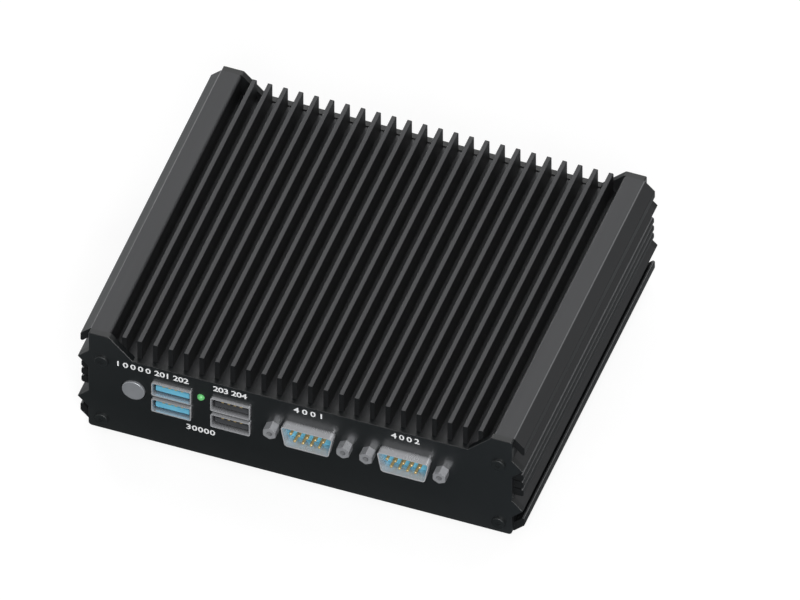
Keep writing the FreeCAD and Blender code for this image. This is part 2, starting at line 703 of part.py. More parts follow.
# ---------------------------------------------------------------- bottom cover
def countersunk_screw(x, y):
    head = Part.makeCone(
        COVER_SCREW_HEAD_RADIUS,
        SMALL_SCREW_RADIUS,
        COVER_SCREW_HEAD_HEIGHT,
        Vector(x, y, BASE_Z),
    )
    tip_z = COVER_TOP_Z + COVER_SCREW_REACH
    shank = rod_z(SMALL_SCREW_RADIUS, x, y, BASE_Z + RECESS_DEPTH, tip_z)
    recess = rod_z(RECESS_SPAN / 2, x, y, BASE_Z, BASE_Z + RECESS_DEPTH)
    return joined([head, shank]).cut(recess)


def bottom_cover():
    half_length = BODY_LENGTH / 2 - COVER_CLEARANCE
    plate = block(-COVER_HALF, COVER_HALF, -half_length, half_length, BASE_Z, COVER_TOP_Z)
    holes = []
    for x, y in four_corners(COVER_SCREW_X, COVER_SCREW_Y):
        sink = Part.makeCone(
            COVER_SCREW_HEAD_RADIUS + FIT_GAP,
            SMALL_SCREW_RADIUS + FIT_GAP,
            COVER_SCREW_HEAD_HEIGHT,
            Vector(x, y, BASE_Z),
        )
        through = rod_z(SMALL_SCREW_RADIUS + FIT_GAP, x, y, BASE_Z, COVER_TOP_Z)
        holes.append(sink.fuse(through))
    for x, y in four_corners(MOUNT_PITCH / 2, MOUNT_PITCH / 2):
        holes.append(rod_z(MOUNT_HOLE_RADIUS, x, y, BASE_Z, COVER_TOP_Z))
    return plate.cut(grouped(holes))


def rubber_feet():
    foot_x = HALF_WIDTH - FOOT_INSET_X
    foot_y = CASE_DEPTH / 2 - FOOT_INSET_Y
    floor_radius = FOOT_RADIUS - FOOT_TAPER
    cones = []
    for x, y in four_corners(foot_x, foot_y):
        cones.append(Part.makeCone(floor_radius, FOOT_RADIUS, FOOT_HEIGHT, Vector(x, y, 0)))
    return grouped(cones)


# ---------------------------------------------------------------- power button
def power_button_cap():
    """Round cap, the flange that keeps it behind the panel, and the stem, as one moulding."""
    face_y = FRONT_Y - BUTTON_PROUD
    cap = rod_y(BUTTON_RADIUS, BUTTON_X, AXIS_Z, face_y, BUTTON_FLANGE_Y + FUSE_OVERLAP)
    rim = [edge for edge in cap.Edges if abs(edge.CenterOfMass.y - face_y) < 1e-6]
    cap = cap.makeFillet(BUTTON_EDGE_RADIUS, rim)
    flange = rod_y(BUTTON_FLANGE_RADIUS, BUTTON_X, AXIS_Z, BUTTON_FLANGE_Y, SPRING_START_Y)
    stem_end = SWITCH_FRONT_Y + BUTTON_STEM_ENGAGEMENT
    stem = rod_y(BUTTON_STEM_RADIUS, BUTTON_X, AXIS_Z, BUTTON_FLANGE_Y, stem_end)
    return joined([cap, flange, stem])


def power_button_spring():
    """A short coil spring round the stem, between the flange and the switch housing."""
    clear = SPRING_WIRE_RADIUS + FIT_GAP
    length = SPRING_SPACE - 2 * clear
    helix = Part.makeHelix(length / SPRING_TURNS, length, SPRING_RADIUS)
    wire = Part.Wire(Part.makeCircle(SPRING_WIRE_RADIUS, Vector(SPRING_RADIUS, 0, 0), Vector(0, 1, 0)))
    coil = Part.Wire(helix).makePipeShell([wire], True, True)
    coil.rotate(Vector(0, 0, 0), Vector(1, 0, 0), -90)
    coil.translate(Vector(BUTTON_X, SPRING_START_Y + clear, AXIS_Z))
    return coil


def power_switch_housing():
    """The switch block on the board, with the bore that guides the button's stem."""
    back_y = SWITCH_FRONT_Y + SWITCH_DEPTH
    top_z = AXIS_Z + SWITCH_HEIGHT_OVER_AXIS
    body = wide_block(BUTTON_X, SWITCH_WIDTH, SWITCH_FRONT_Y, back_y, BOARD_TOP_Z, top_z)
    bore_end = SWITCH_FRONT_Y + BUTTON_STEM_ENGAGEMENT + BUTTON_TRAVEL + HOLE_SPARE
    radius = BUTTON_STEM_RADIUS + BUTTON_STEM_CLEARANCE
    return body.cut(rod_y(radius, BUTTON_X, AXIS_Z, SWITCH_FRONT_Y, bore_end))


# ---------------------------------------------------------------- status light
def status_light_lens():
    """A round light pipe with a shallow domed front."""
    z = AXIS_Z + LIGHT_ABOVE_AXIS
    back_y = PANEL_BACK_Y + LIGHT_HOLDER_DEPTH - LIGHT_HOLDER_WALL
    pipe = rod_y(LIGHT_RADIUS, LIGHT_X, z, FRONT_Y, back_y)
    dome_radius = (LIGHT_RADIUS**2 + LIGHT_PROUD**2) / (2 * LIGHT_PROUD)
    dome = Part.makeSphere(dome_radius, Vector(LIGHT_X, FRONT_Y - LIGHT_PROUD + dome_radius, z))
    around = rod_y(LIGHT_RADIUS, LIGHT_X, z, FRONT_Y - LIGHT_PROUD, FRONT_Y + FUSE_OVERLAP)
    cap = dome.common(around)
    return joined([pipe, cap])


def status_light_holder():
    """The post on the board that holds the light pipe."""
    z = AXIS_Z + LIGHT_ABOVE_AXIS
    front_y = PANEL_BACK_Y + FIT_GAP
    back_y = PANEL_BACK_Y + LIGHT_HOLDER_DEPTH
    top_z = z + LIGHT_RADIUS + LIGHT_HOLDER_WALL
    post = wide_block(LIGHT_X, LIGHT_HOLDER_WIDTH, front_y, back_y, BOARD_TOP_Z, top_z)
    return post.cut(rod_y(LIGHT_RADIUS + FIT_GAP, LIGHT_X, z, front_y, back_y - LIGHT_HOLDER_WALL))


# ---------------------------------------------------------------- stacked double sockets
def port_heights():
    """Middle heights of the lower and the upper socket."""
    return [AXIS_Z + offset for offset in both_sides(PORT_PITCH / 2)]


def port_shell(x):
    """The sheet metal cage with the two socket mouths."""
    cage_y = PANEL_BACK_Y + PORT_PANEL_CLEARANCE
    back_y = FRONT_Y + PORT_STACK_DEPTH
    mouth_y = FRONT_Y - PORT_PROUD
    cavity_end = mouth_y + PORT_CAVITY_DEPTH
    sheet = PORT_SHEET
    cage = wide_block(x, PORT_WIDTH, cage_y, back_y, BOARD_TOP_Z, STACK_TOP_Z)
    inner_width = PORT_WIDTH - 2 * sheet
    hollow = wide_block(x, inner_width, cage_y + sheet, back_y - sheet, BOARD_TOP_Z, STACK_TOP_Z - sheet)
    shell = cage.cut(hollow)
    mouths = []
    cavities = []
    for z in port_heights():
        mouth = rectangle(x, z, PORT_WIDTH, PORT_HEIGHT, PORT_CORNER_RADIUS)
        cavity = rectangle(x, z, inner_width, PORT_HEIGHT - 2 * sheet, PORT_CORNER_RADIUS - sheet)
        mouths.append(prism(mouth, mouth_y, cavity_end))
        cavities.append(prism(cavity, mouth_y, cavity_end))
    return joined([shell] + mouths).cut(grouped(cavities))


def tongue_middle(z):
    return z - TONGUE_DROP


def port_housing(x):
    """The moulding inside the cage, with the two tongues."""
    sheet = PORT_SHEET + FIT_GAP
    front_y = FRONT_Y - PORT_PROUD + PORT_CAVITY_DEPTH
    back_y = FRONT_Y + PORT_STACK_DEPTH - sheet
    width = PORT_WIDTH - 2 * sheet
    parts = [wide_block(x, width, front_y, back_y, BOARD_TOP_Z, STACK_TOP_Z - sheet)]
    tongue_y = FRONT_Y - PORT_PROUD + TONGUE_RECESS
    for z in port_heights():
        low = tongue_middle(z) - TONGUE_THICKNESS / 2
        high = tongue_middle(z) + TONGUE_THICKNESS / 2
        parts.append(wide_block(x, TONGUE_WIDTH, tongue_y, front_y + FUSE_OVERLAP, low, high))
    return joined(parts)


def port_contacts(x):
    """Four contact strips on the upper face of each tongue."""
    strips = []
    start_y = FRONT_Y - PORT_PROUD + TONGUE_RECESS + CONTACT_SETBACK
    for z in port_heights():
        low = tongue_middle(z) + TONGUE_THICKNESS / 2
        for offset in evenly(CONTACT_COUNT, CONTACT_PITCH):
            end_y = start_y + CONTACT_LENGTH
            strip = wide_block(x + offset, CONTACT_WIDTH, start_y, end_y, low, low + CONTACT_THICKNESS)
            strips.append(strip)
    return grouped(strips)


# ---------------------------------------------------------------- D-shaped connectors
def d_shell(x, width, height):
    """Thin D-shaped shell with its mounting flange behind the panel."""
    front_y = FRONT_Y - D_SHELL_PROUD
    tube = prism(d_outline(x, width, height, D_SHELL_RADIUS), front_y, D_BLOCK_FRONT_Y)
    flange_outline = rectangle(x, AXIS_Z, D_FLANGE_WIDTH, D_FLANGE_HEIGHT, D_FLANGE_RADIUS)
    flange = prism(flange_outline, PANEL_BACK_Y, D_BLOCK_FRONT_Y)
    cutters = [prism(inset_d(x, width, height, D_SHELL_WALL), front_y, D_BLOCK_FRONT_Y)]
    radius = JACKSCREW_STUD_RADIUS + JACKSCREW_HOLE_CLEARANCE
    for offset in both_sides(JACKSCREW_SPACING / 2):
        cutters.append(rod_y(radius, x + offset, AXIS_Z, PANEL_BACK_Y, D_BLOCK_FRONT_Y))
    return joined([tube, flange]).cut(grouped(cutters))


def d_insulator(x, width, height, face_y):
    """The moulding inside the shell and the block that stands on the board."""
    core_outline = inset_d(x, width, height, D_SHELL_WALL + FIT_GAP)
    core = prism(core_outline, face_y, D_BLOCK_FRONT_Y + FUSE_OVERLAP)
    top_z = AXIS_Z + D_BLOCK_ABOVE_AXIS
    stand = wide_block(x, D_BLOCK_WIDTH, D_BLOCK_FRONT_Y, D_BLOCK_BACK_Y, BOARD_TOP_Z, top_z)
    return joined([core, stand])


def serial_pin_rows():
    """(x offset, z, lead row) of the nine pins: five over four."""
    upper = [(offset, AXIS_Z + PIN_ROW_GAP / 2, 2) for offset in evenly(LONG_PIN_ROW, PIN_PITCH)]
    lower = [(offset, AXIS_Z - PIN_ROW_GAP / 2, 1) for offset in evenly(SHORT_PIN_ROW, PIN_PITCH)]
    return upper + lower


def serial_insulator(x):
    body = d_insulator(x, D_SHELL_WIDTH, D_SHELL_HEIGHT, FRONT_Y + D_FLOOR_DEPTH)
    holes = []
    for offset, z, _row in serial_pin_rows():
        radius = PIN_RADIUS + FIT_GAP
        holes.append(rod_y(radius, x + offset, z, FRONT_Y, D_BLOCK_BACK_Y))
    return body.cut(grouped(holes))


def serial_pins(x):
    """Nine pins with leads that turn down to the board."""
    pins = []
    tip_y = FRONT_Y - PIN_PROUD
    for offset, z, row in serial_pin_rows():
        lead_y = D_BLOCK_BACK_Y + row * LEAD_STEP
        pin = rod_y(PIN_RADIUS, x + offset, z, tip_y, lead_y + PIN_RADIUS)
        rim = [edge for edge in pin.Edges if abs(edge.CenterOfMass.y - tip_y) < 1e-6]
        pin = pin.makeChamfer(PIN_TIP_CHAMFER, rim)
        lead = rod_z(LEAD_RADIUS, x + offset, lead_y, BOARD_TOP_Z, z)
        pins.append(joined([pin, lead]))
    return grouped(pins)


def video_insulator():
    """The socket moulding of the 15-way connector, with three rows of holes."""
    face_y = FRONT_Y - D_SHELL_PROUD + VIDEO_FACE_RECESS
    body = d_insulator(VIDEO_X, VIDEO_SHELL_WIDTH, VIDEO_SHELL_HEIGHT, face_y)
    holes = []
    for row in (-1, 0, 1):
        z = AXIS_Z + row * VIDEO_ROW_GAP
        shift = VIDEO_HOLE_PITCH / 4 * (1 if row == 0 else -1)
        for offset in evenly(VIDEO_ROW_HOLES, VIDEO_HOLE_PITCH):
            x = VIDEO_X + offset + shift
            holes.append(rod_y(VIDEO_HOLE_RADIUS, x, z, face_y, face_y + VIDEO_HOLE_DEPTH))
    return body.cut(grouped(holes))


def jackscrew(x):
    """Hexagonal standoff screw with a threaded bore in its head."""
    front_y = FRONT_Y - JACKSCREW_LENGTH
    head = prism(hexagon(x, AXIS_Z, JACKSCREW_ACROSS_FLATS), front_y, FRONT_Y)
    cone_radius = JACKSCREW_ACROSS_FLATS / math.sqrt(3)
    cone = Part.makeCone(
        cone_radius - JACKSCREW_CHAMFER,
        cone_radius - JACKSCREW_CHAMFER + JACKSCREW_LENGTH,
        JACKSCREW_LENGTH,
        Vector(x, front_y, AXIS_Z),
        Vector(0, 1, 0),
    )
    stud_end = D_BLOCK_FRONT_Y + JACKSCREW_STUD_REACH
    stud = rod_y(JACKSCREW_STUD_RADIUS, x, AXIS_Z, FRONT_Y - FUSE_OVERLAP, stud_end)
    bore = rod_y(JACKSCREW_BORE_RADIUS, x, AXIS_Z, front_y, front_y + JACKSCREW_BORE_DEPTH)
    return joined([head.common(cone), stud]).cut(bore)


def jackscrews():
    front_x = [x + offset for x in SERIAL_POSITIONS.values() for offset in both_sides(JACKSCREW_SPACING / 2)]
    rear_x = [VIDEO_X + offset for offset in both_sides(JACKSCREW_SPACING / 2)]
    return grouped([jackscrew(x) for x in front_x] + [to_rear(jackscrew(x)) for x in rear_x])


# ---------------------------------------------------------------- network jacks
def network_mouth(x, y0, y1):
    """The plug space of a network jack, with the notch for the plug's latch."""
    low = BOARD_TOP_Z + NETWORK_MOUTH_LIFT
    space = wide_block(x, NETWORK_MOUTH_WIDTH, y0, y1, low, low + NETWORK_MOUTH_HEIGHT)
    notch = wide_block(x, NETWORK_LATCH_WIDTH, y0, y1, low - NETWORK_LATCH_DEPTH, low)
    return space.fuse(notch)


def network_shell(x):
    front_y = FRONT_Y - NETWORK_PROUD
    back_y = front_y + NETWORK_DEPTH
    top_z = BOARD_TOP_Z + NETWORK_HEIGHT
    sheet = NETWORK_SHEET
    inner_width = NETWORK_WIDTH - 2 * sheet
    outer = wide_block(x, NETWORK_WIDTH, front_y, back_y, BOARD_TOP_Z, top_z)
    inner = wide_block(x, inner_width, front_y + sheet, back_y - sheet, BOARD_TOP_Z, top_z - sheet)
    return outer.cut(inner).cut(network_mouth(x, front_y, front_y + sheet))


def network_insert(x):
    """The moulding inside the network jack's shell."""
    sheet = NETWORK_SHEET + FIT_GAP
    front_y = FRONT_Y - NETWORK_PROUD + sheet
    back_y = FRONT_Y - NETWORK_PROUD + NETWORK_DEPTH - sheet
    top_z = BOARD_TOP_Z + NETWORK_HEIGHT - sheet
    body = wide_block(x, NETWORK_WIDTH - 2 * sheet, front_y, back_y, BOARD_TOP_Z, top_z)
    return body.cut(network_mouth(x, front_y, front_y + NETWORK_MOUTH_DEPTH))


def network_contacts(x):
    """Eight sprung contacts that slope down from the roof of the mouth."""
    roof_z = BOARD_TOP_Z + NETWORK_MOUTH_LIFT + NETWORK_MOUTH_HEIGHT
    back_y = FRONT_Y - NETWORK_PROUD + NETWORK_SHEET + FIT_GAP + NETWORK_MOUTH_DEPTH
    front_y = back_y - NETWORK_CONTACT_LENGTH
    half = NETWORK_CONTACT_WIDTH / 2
    wires = []
    for offset in evenly(NETWORK_CONTACT_COUNT, NETWORK_CONTACT_PITCH):
        corners = [
            Vector(x + offset - half, front_y, roof_z),
            Vector(x + offset - half, back_y, roof_z - NETWORK_CONTACT_RISE),
            Vector(x + offset - half, back_y, roof_z),
        ]
        face = Part.Face(Part.makePolygon(corners + corners[:1]))
        wires.append(face.extrude(Vector(NETWORK_CONTACT_WIDTH, 0, 0)))
    return grouped(wires)


# ---------------------------------------------------------------- flat video socket and power jack
def flat_video_middle():
    return BOARD_TOP_Z + FLAT_VIDEO_LIFT + FLAT_VIDEO_HEIGHT / 2


def flat_video_outline(inset):
    """The flat socket's section: a low rectangle with bevelled lower corners."""
    half_w = FLAT_VIDEO_WIDTH / 2 - inset
    half_h = FLAT_VIDEO_HEIGHT / 2 - inset
    bevel = FLAT_VIDEO_BEVEL
    z = flat_video_middle()
    x = FLAT_VIDEO_X
    return [
        (x - half_w + bevel, z - half_h),
        (x + half_w - bevel, z - half_h),
        (x + half_w, z - half_h + bevel),
        (x + half_w, z + half_h),
        (x - half_w, z + half_h),
        (x - half_w, z - half_h + bevel),
    ]


def flat_video_shell():
    mouth_y = FRONT_Y - FLAT_VIDEO_PROUD
    outer = prism(flat_video_outline(0), mouth_y, mouth_y + FLAT_VIDEO_DEPTH)
    inner = prism(flat_video_outline(PORT_SHEET), mouth_y, mouth_y + FLAT_VIDEO_DEPTH)
    return outer.cut(inner)


def flat_video_tongue():
    """The moulding that closes the flat socket's back, with its tongue and its foot on the board."""
    mouth_y = FRONT_Y - FLAT_VIDEO_PROUD
    shell_end = mouth_y + FLAT_VIDEO_DEPTH
    back_y = shell_end + FLAT_VIDEO_BACK_WALL
    floor_y = mouth_y + FLAT_VIDEO_CAVITY_DEPTH
    plug = prism(flat_video_outline(PORT_SHEET + FIT_GAP), floor_y, back_y)
    z = flat_video_middle()
    half = FLAT_TONGUE_THICKNESS / 2
    tongue_y = mouth_y + FLAT_TONGUE_RECESS
    tongue_end = floor_y + FUSE_OVERLAP
    tongue = wide_block(FLAT_VIDEO_X, FLAT_TONGUE_WIDTH, tongue_y, tongue_end, z - half, z + half)
    foot = wide_block(FLAT_VIDEO_X, FLAT_TONGUE_WIDTH, shell_end, back_y, BOARD_TOP_Z, z)
    return joined([plug, tongue, foot])


def dc_jack_body():
    """Power jack: block on the board and threaded barrel through the rear panel."""
    block_y = PANEL_BACK_Y + FIT_GAP
    front_y = FRONT_Y - DC_PROUD
    barrel = rod_y(DC_BARREL_RADIUS, DC_X, AXIS_Z, front_y, block_y + FUSE_OVERLAP)
    top_z = AXIS_Z + DC_BLOCK_WIDTH / 2
    stand = wide_block(DC_X, DC_BLOCK_WIDTH, block_y, block_y + DC_BLOCK_DEPTH, BOARD_TOP_Z, top_z)
    bore = rod_y(DC_BORE_RADIUS, DC_X, AXIS_Z, front_y, front_y + DC_BORE_DEPTH)
    return joined([barrel, stand]).cut(bore)


def dc_jack_pin():
    front_y = FRONT_Y - DC_PROUD + DC_PIN_RECESS
    return rod_y(DC_PIN_RADIUS, DC_X, AXIS_Z, front_y, FRONT_Y - DC_PROUD + DC_BORE_DEPTH)


def dc_jack_nut():
    nut = prism(hexagon(DC_X, AXIS_Z, DC_NUT_ACROSS_FLATS), FRONT_Y - DC_NUT_THICKNESS, FRONT_Y)
    radius = DC_BARREL_RADIUS + FIT_GAP
    return nut.cut(rod_y(radius, DC_X, AXIS_Z, FRONT_Y - DC_NUT_THICKNESS, FRONT_Y))


# ---------------------------------------------------------------- main board and what it carries
def main_board():
    half_x = CAVITY_HALF - BOARD_SIDE_GAP
    half_y = BODY_LENGTH / 2 - BOARD_END_GAP
    board = block(-half_x, half_x, -half_y, half_y, BOARD_BOTTOM_Z, BOARD_TOP_Z)
    radius = SMALL_SCREW_RADIUS + PANEL_HOLE_CLEARANCE
    corners = four_corners(STANDOFF_X, STANDOFF_Y)
    return board.cut(grouped([rod_z(radius, x, y, BOARD_BOTTOM_Z, BOARD_TOP_Z) for x, y in corners]))


def hex_post(x, y, across_flats, z0, z1):
    post = prism(hexagon(0, 0, across_flats), 0, z1 - z0)
    post.rotate(Vector(0, 0, 0), Vector(1, 0, 0), 90)
    post.translate(Vector(x, y, z0))
    return post


def board_standoffs():
    posts = []
    for x, y in four_corners(STANDOFF_X, STANDOFF_Y):
        post = hex_post(x, y, STANDOFF_ACROSS_FLATS, COVER_TOP_Z, BOARD_BOTTOM_Z)
        bore_end = BOARD_BOTTOM_Z - BOARD_SCREW_REACH - HOLE_SPARE
        posts.append(post.cut(rod_z(THREAD_RADIUS, x, y, bore_end, BOARD_BOTTOM_Z)))
    return grouped(posts)


def board_screws():
    screws = []
    for x, y in four_corners(STANDOFF_X, STANDOFF_Y):
        head_top = BOARD_TOP_Z + BOARD_SCREW_HEAD_HEIGHT
        head = rod_z(BOARD_SCREW_HEAD_RADIUS, x, y, BOARD_TOP_Z, head_top)
        shank = rod_z(SMALL_SCREW_RADIUS, x, y, BOARD_BOTTOM_Z - BOARD_SCREW_REACH, head_top)
        screws.append(joined([head, shank]))
    return grouped(screws)


def processor():
    """Processor package with its metal lid."""
    half = PROCESSOR_SIDE / 2
    lid_half = PROCESSOR_LID_SIDE / 2
    mid_z = BOARD_TOP_Z + PROCESSOR_HEIGHT
    x = PROCESSOR_X
    y = PROCESSOR_Y
    package = block(x - half, x + half, y - half, y + half, BOARD_TOP_Z, mid_z)
    lid_top = mid_z + PROCESSOR_LID_HEIGHT
    lid = block(x - lid_half, x + lid_half, y - lid_half, y + lid_half, mid_z, lid_top)
    return joined([package, lid])


def thermal_pad():
    half = PAD_SIDE / 2
    x = PROCESSOR_X
    y = PROCESSOR_Y
    return block(x - half, x + half, y - half, y + half, PAD_TOP_Z - PAD_THICKNESS, PAD_TOP_Z)


def heat_spreader():
    """The block that carries the processor's heat up to the finned plate."""
    half = SPREADER_SIDE / 2
    x = PROCESSOR_X
    y = PROCESSOR_Y
    body = block(x - half, x + half, y - half, y + half, PAD_TOP_Z, CEILING_Z)
    holes = []
    for screw_x, screw_y in spreader_screw_places():
        radius = SPREADER_HEAD_RADIUS + PANEL_HOLE_CLEARANCE
        holes.append(rod_z(radius, screw_x, screw_y, PAD_TOP_Z, SPREADER_HEAD_Z))
        through = SPREADER_SCREW_RADIUS + PANEL_HOLE_CLEARANCE
        holes.append(rod_z(through, screw_x, screw_y, PAD_TOP_Z, CEILING_Z))
    return body.cut(grouped(holes))


def spreader_screws():
    screws = []
    for x, y in spreader_screw_places():
        head = rod_z(SPREADER_HEAD_RADIUS, x, y, SPREADER_HEAD_Z - SPREADER_HEAD_HEIGHT, SPREADER_HEAD_Z)
        tip = CEILING_Z + SPREADER_SCREW_REACH
        shank = rod_z(SPREADER_SCREW_RADIUS, x, y, SPREADER_HEAD_Z - FUSE_OVERLAP, tip)
        screws.append(joined([head, shank]))
    return grouped(screws)


def card_socket(contact_x, length):
    """An edge socket along Y whose slot opens towards -X."""
    half = length / 2 + SOCKET_OVERHANG
    far_x = contact_x + SOCKET_DEPTH - SOCKET_GRIP
    near_x = far_x - SOCKET_DEPTH
    body = block(near_x, far_x, -half, half, BOARD_TOP_Z, BOARD_TOP_Z + SOCKET_HEIGHT)
    low = BOARD_TOP_Z + MEMORY_LIFT - FIT_GAP
    high = low + CARD_THICKNESS + 2 * FIT_GAP
    slot_half = length / 2 + FIT_GAP
    return body.cut(block(near_x, contact_x + FIT_GAP, -slot_half, slot_half, low, high))


def memory_card(contact_x, length, width, chip_count):
    """A card that lies flat over the board, with chips on its upper side."""
    low = BOARD_TOP_Z + MEMORY_LIFT
    top = low + CARD_THICKNESS
    parts = [block(contact_x - width, contact_x, -length / 2, length / 2, low, top)]
    chip_pitch = length / chip_count
    chip_half = CHIP_ROW_SHARE * chip_pitch / 2
    chip_far = contact_x - SOCKET_GRIP - CHIP_MARGIN
    chip_near = contact_x - width + CHIP_MARGIN
    for y in evenly(chip_count, chip_pitch):
        parts.append(block(chip_near, chip_far, y - chip_half, y + chip_half, top, top + CHIP_THICKNESS))
    return joined(parts)


def turned_to_storage(shape):
    """A card or socket built along -X from the origin, placed along +Y at the storage bay."""
    turned = shape.copy()
    turned.rotate(Vector(0, 0, 0), Vector(0, 0, 1), -90)
    turned.translate(Vector(STORAGE_X, STORAGE_Y, 0))
    return turned


def storage_post_y():
    return STORAGE_Y + STORAGE_LENGTH - STORAGE_POST_INSET


def storage_card():
    card = turned_to_storage(memory_card(0, STORAGE_WIDTH, STORAGE_LENGTH, 1))
    notch_radius = SMALL_SCREW_RADIUS + PANEL_HOLE_CLEARANCE
    top_z = BOARD_TOP_Z + MEMORY_LIFT + CARD_THICKNESS + CHIP_THICKNESS
    return card.cut(rod_z(notch_radius, STORAGE_X, storage_post_y(), BOARD_TOP_Z, top_z))


def storage_post():
    """The post on the board that carries the free end of the storage card."""
    low = BOARD_TOP_Z
    high = BOARD_TOP_Z + MEMORY_LIFT
    post = rod_z(STORAGE_POST_RADIUS, STORAGE_X, storage_post_y(), low, high)
    return post.cut(rod_z(THREAD_RADIUS, STORAGE_X, storage_post_y(), low, high))


def storage_screw():
    under = BOARD_TOP_Z + MEMORY_LIFT + CARD_THICKNESS
    head_top = under + STORAGE_SCREW_HEAD_HEIGHT
    head = rod_z(STORAGE_POST_RADIUS, STORAGE_X, storage_post_y(), under, head_top)
    tip_z = BOARD_TOP_Z + STORAGE_SCREW_TIP_GAP
    shank = rod_z(SMALL_SCREW_RADIUS, STORAGE_X, storage_post_y(), tip_z, head_top)
    return joined([head, shank])


def coin_cell():
    low = BOARD_TOP_Z + COIN_HOLDER_FLOOR
    return rod_z(COIN_CELL_RADIUS, COIN_CELL_X, COIN_CELL_Y, low, low + COIN_CELL_THICKNESS)


def coin_cell_holder():
    radius = COIN_CELL_RADIUS + FIT_GAP
    floor_z = BOARD_TOP_Z + COIN_HOLDER_FLOOR
    top_z = floor_z + COIN_CELL_THICKNESS - COIN_CELL_SHOWS
    ring = rod_z(radius + COIN_HOLDER_WALL, COIN_CELL_X, COIN_CELL_Y, BOARD_TOP_Z, top_z)
    return ring.cut(rod_z(radius, COIN_CELL_X, COIN_CELL_Y, floor_z, top_z))


def power_coils():
    coils = []
    half = COIL_SIDE / 2
    for offset in evenly(COIL_COUNT, COIL_PITCH):
        x = PROCESSOR_X + offset
        y = COIL_Y
        coils.append(block(x - half, x + half, y - half, y + half, BOARD_TOP_Z, BOARD_TOP_Z + COIL_HEIGHT))
    return grouped(coils)


def power_capacitors():
    cans = []
    for offset in evenly(CAPACITOR_COUNT, CAPACITOR_PITCH):
        x = PROCESSOR_X + offset
        cans.append(rod_z(CAPACITOR_RADIUS, x, CAPACITOR_Y, BOARD_TOP_Z, BOARD_TOP_Z + CAPACITOR_HEIGHT))
    return grouped(cans)


# ---------------------------------------------------------------- assembly
def case_nodes():
    screws = [countersunk_screw(x, y) for x, y in four_corners(COVER_SCREW_X, COVER_SCREW_Y)]
    return {
        "heatsink_body": heatsink_body(),
        "front_panel": front_panel(),
        "rear_panel": rear_panel(),
        "panel_screws": panel_screws(),
        "bottom_cover": bottom_cover(),
        "cover_screws": grouped(screws),
        "rubber_feet": rubber_feet(),
    }


def control_nodes():
    return {
        "power_button_cap": power_button_cap(),
        "power_button_spring": power_button_spring(),
        "power_switch_housing": power_switch_housing(),
        "status_light_lens": status_light_lens(),
        "status_light_holder": status_light_holder(),
    }


def connector_nodes():
    nodes = {"jackscrews": jackscrews()}
    for name, x in FRONT_PORTS.items():
        nodes[name + "_shell"] = port_shell(x)
        nodes[name + "_housing"] = port_housing(x)
        nodes[name + "_contacts"] = port_contacts(x)
    for name, x in SERIAL_POSITIONS.items():
        nodes[name + "_shell"] = d_shell(x, D_SHELL_WIDTH, D_SHELL_HEIGHT)
        nodes[name + "_insulator"] = serial_insulator(x)
        nodes[name + "_pins"] = serial_pins(x)
    for name, x in REAR_PORTS.items():
        nodes[name + "_shell"] = to_rear(port_shell(x))
        nodes[name + "_housing"] = to_rear(port_housing(x))
        nodes[name + "_contacts"] = to_rear(port_contacts(x))
    for name, x in NETWORK_POSITIONS.items():
        nodes[name + "_shell"] = to_rear(network_shell(x))
        nodes[name + "_insert"] = to_rear(network_insert(x))
        nodes[name + "_contacts"] = to_rear(network_contacts(x))
    nodes["video_shell"] = to_rear(d_shell(VIDEO_X, VIDEO_SHELL_WIDTH, VIDEO_SHELL_HEIGHT))
    nodes["video_insulator"] = to_rear(video_insulator())
    nodes["flat_video_shell"] = to_rear(flat_video_shell())
    nodes["flat_video_tongue"] = to_rear(flat_video_tongue())
    nodes["dc_jack_body"] = to_rear(dc_jack_body())
    nodes["dc_jack_pin"] = to_rear(dc_jack_pin())
    nodes["dc_jack_nut"] = to_rear(dc_jack_nut())
    return nodes


def board_nodes():
    return {
        "main_board": main_board(),
        "board_standoffs": board_standoffs(),
        "board_screws": board_screws(),
        "processor": processor(),
        "thermal_pad": thermal_pad(),
        "heat_spreader": heat_spreader(),
        "spreader_screws": spreader_screws(),
        "memory_module": memory_card(MEMORY_X, MEMORY_LENGTH, MEMORY_WIDTH, MEMORY_CHIP_COUNT),
        "memory_socket": card_socket(MEMORY_X, MEMORY_LENGTH),
        "storage_card": storage_card(),
        "storage_socket": turned_to_storage(card_socket(0, STORAGE_WIDTH)),
        "storage_post": storage_post(),
        "storage_screw": storage_screw(),
        "coin_cell": coin_cell(),
        "coin_cell_holder": coin_cell_holder(),
        "power_coils": power_coils(),
        "power_capacitors": power_capacitors(),
    }


def main():
    os.makedirs("parts", exist_ok=True)
    nodes = {}
    nodes.update(case_nodes())
    nodes.update(control_nodes())
    nodes.update(connector_nodes())
    nodes.update(board_nodes())
    for name, shape in nodes.items():
        solids = len(shape.Solids)
        print(f"{name}: {solids} solids, {shape.Volume:.1f} mm3, valid {shape.isValid()}")
        shape.exportStep(f"parts/{name}.step")


main()
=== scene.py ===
# %% [markdown]
# # A fanless computer, dressed for its portrait
# The imported model is the fixed frame: every metal, plastic and rubber piece already has its real
# shape and place. This lesson sets up a camera and a studio, gives each piece a finish made of
# shader nodes, gives the button's spring a mesh of its own, and adds the printed numerals, which
# are too thin for the solid model.

# %% Load the frame
import json
import math

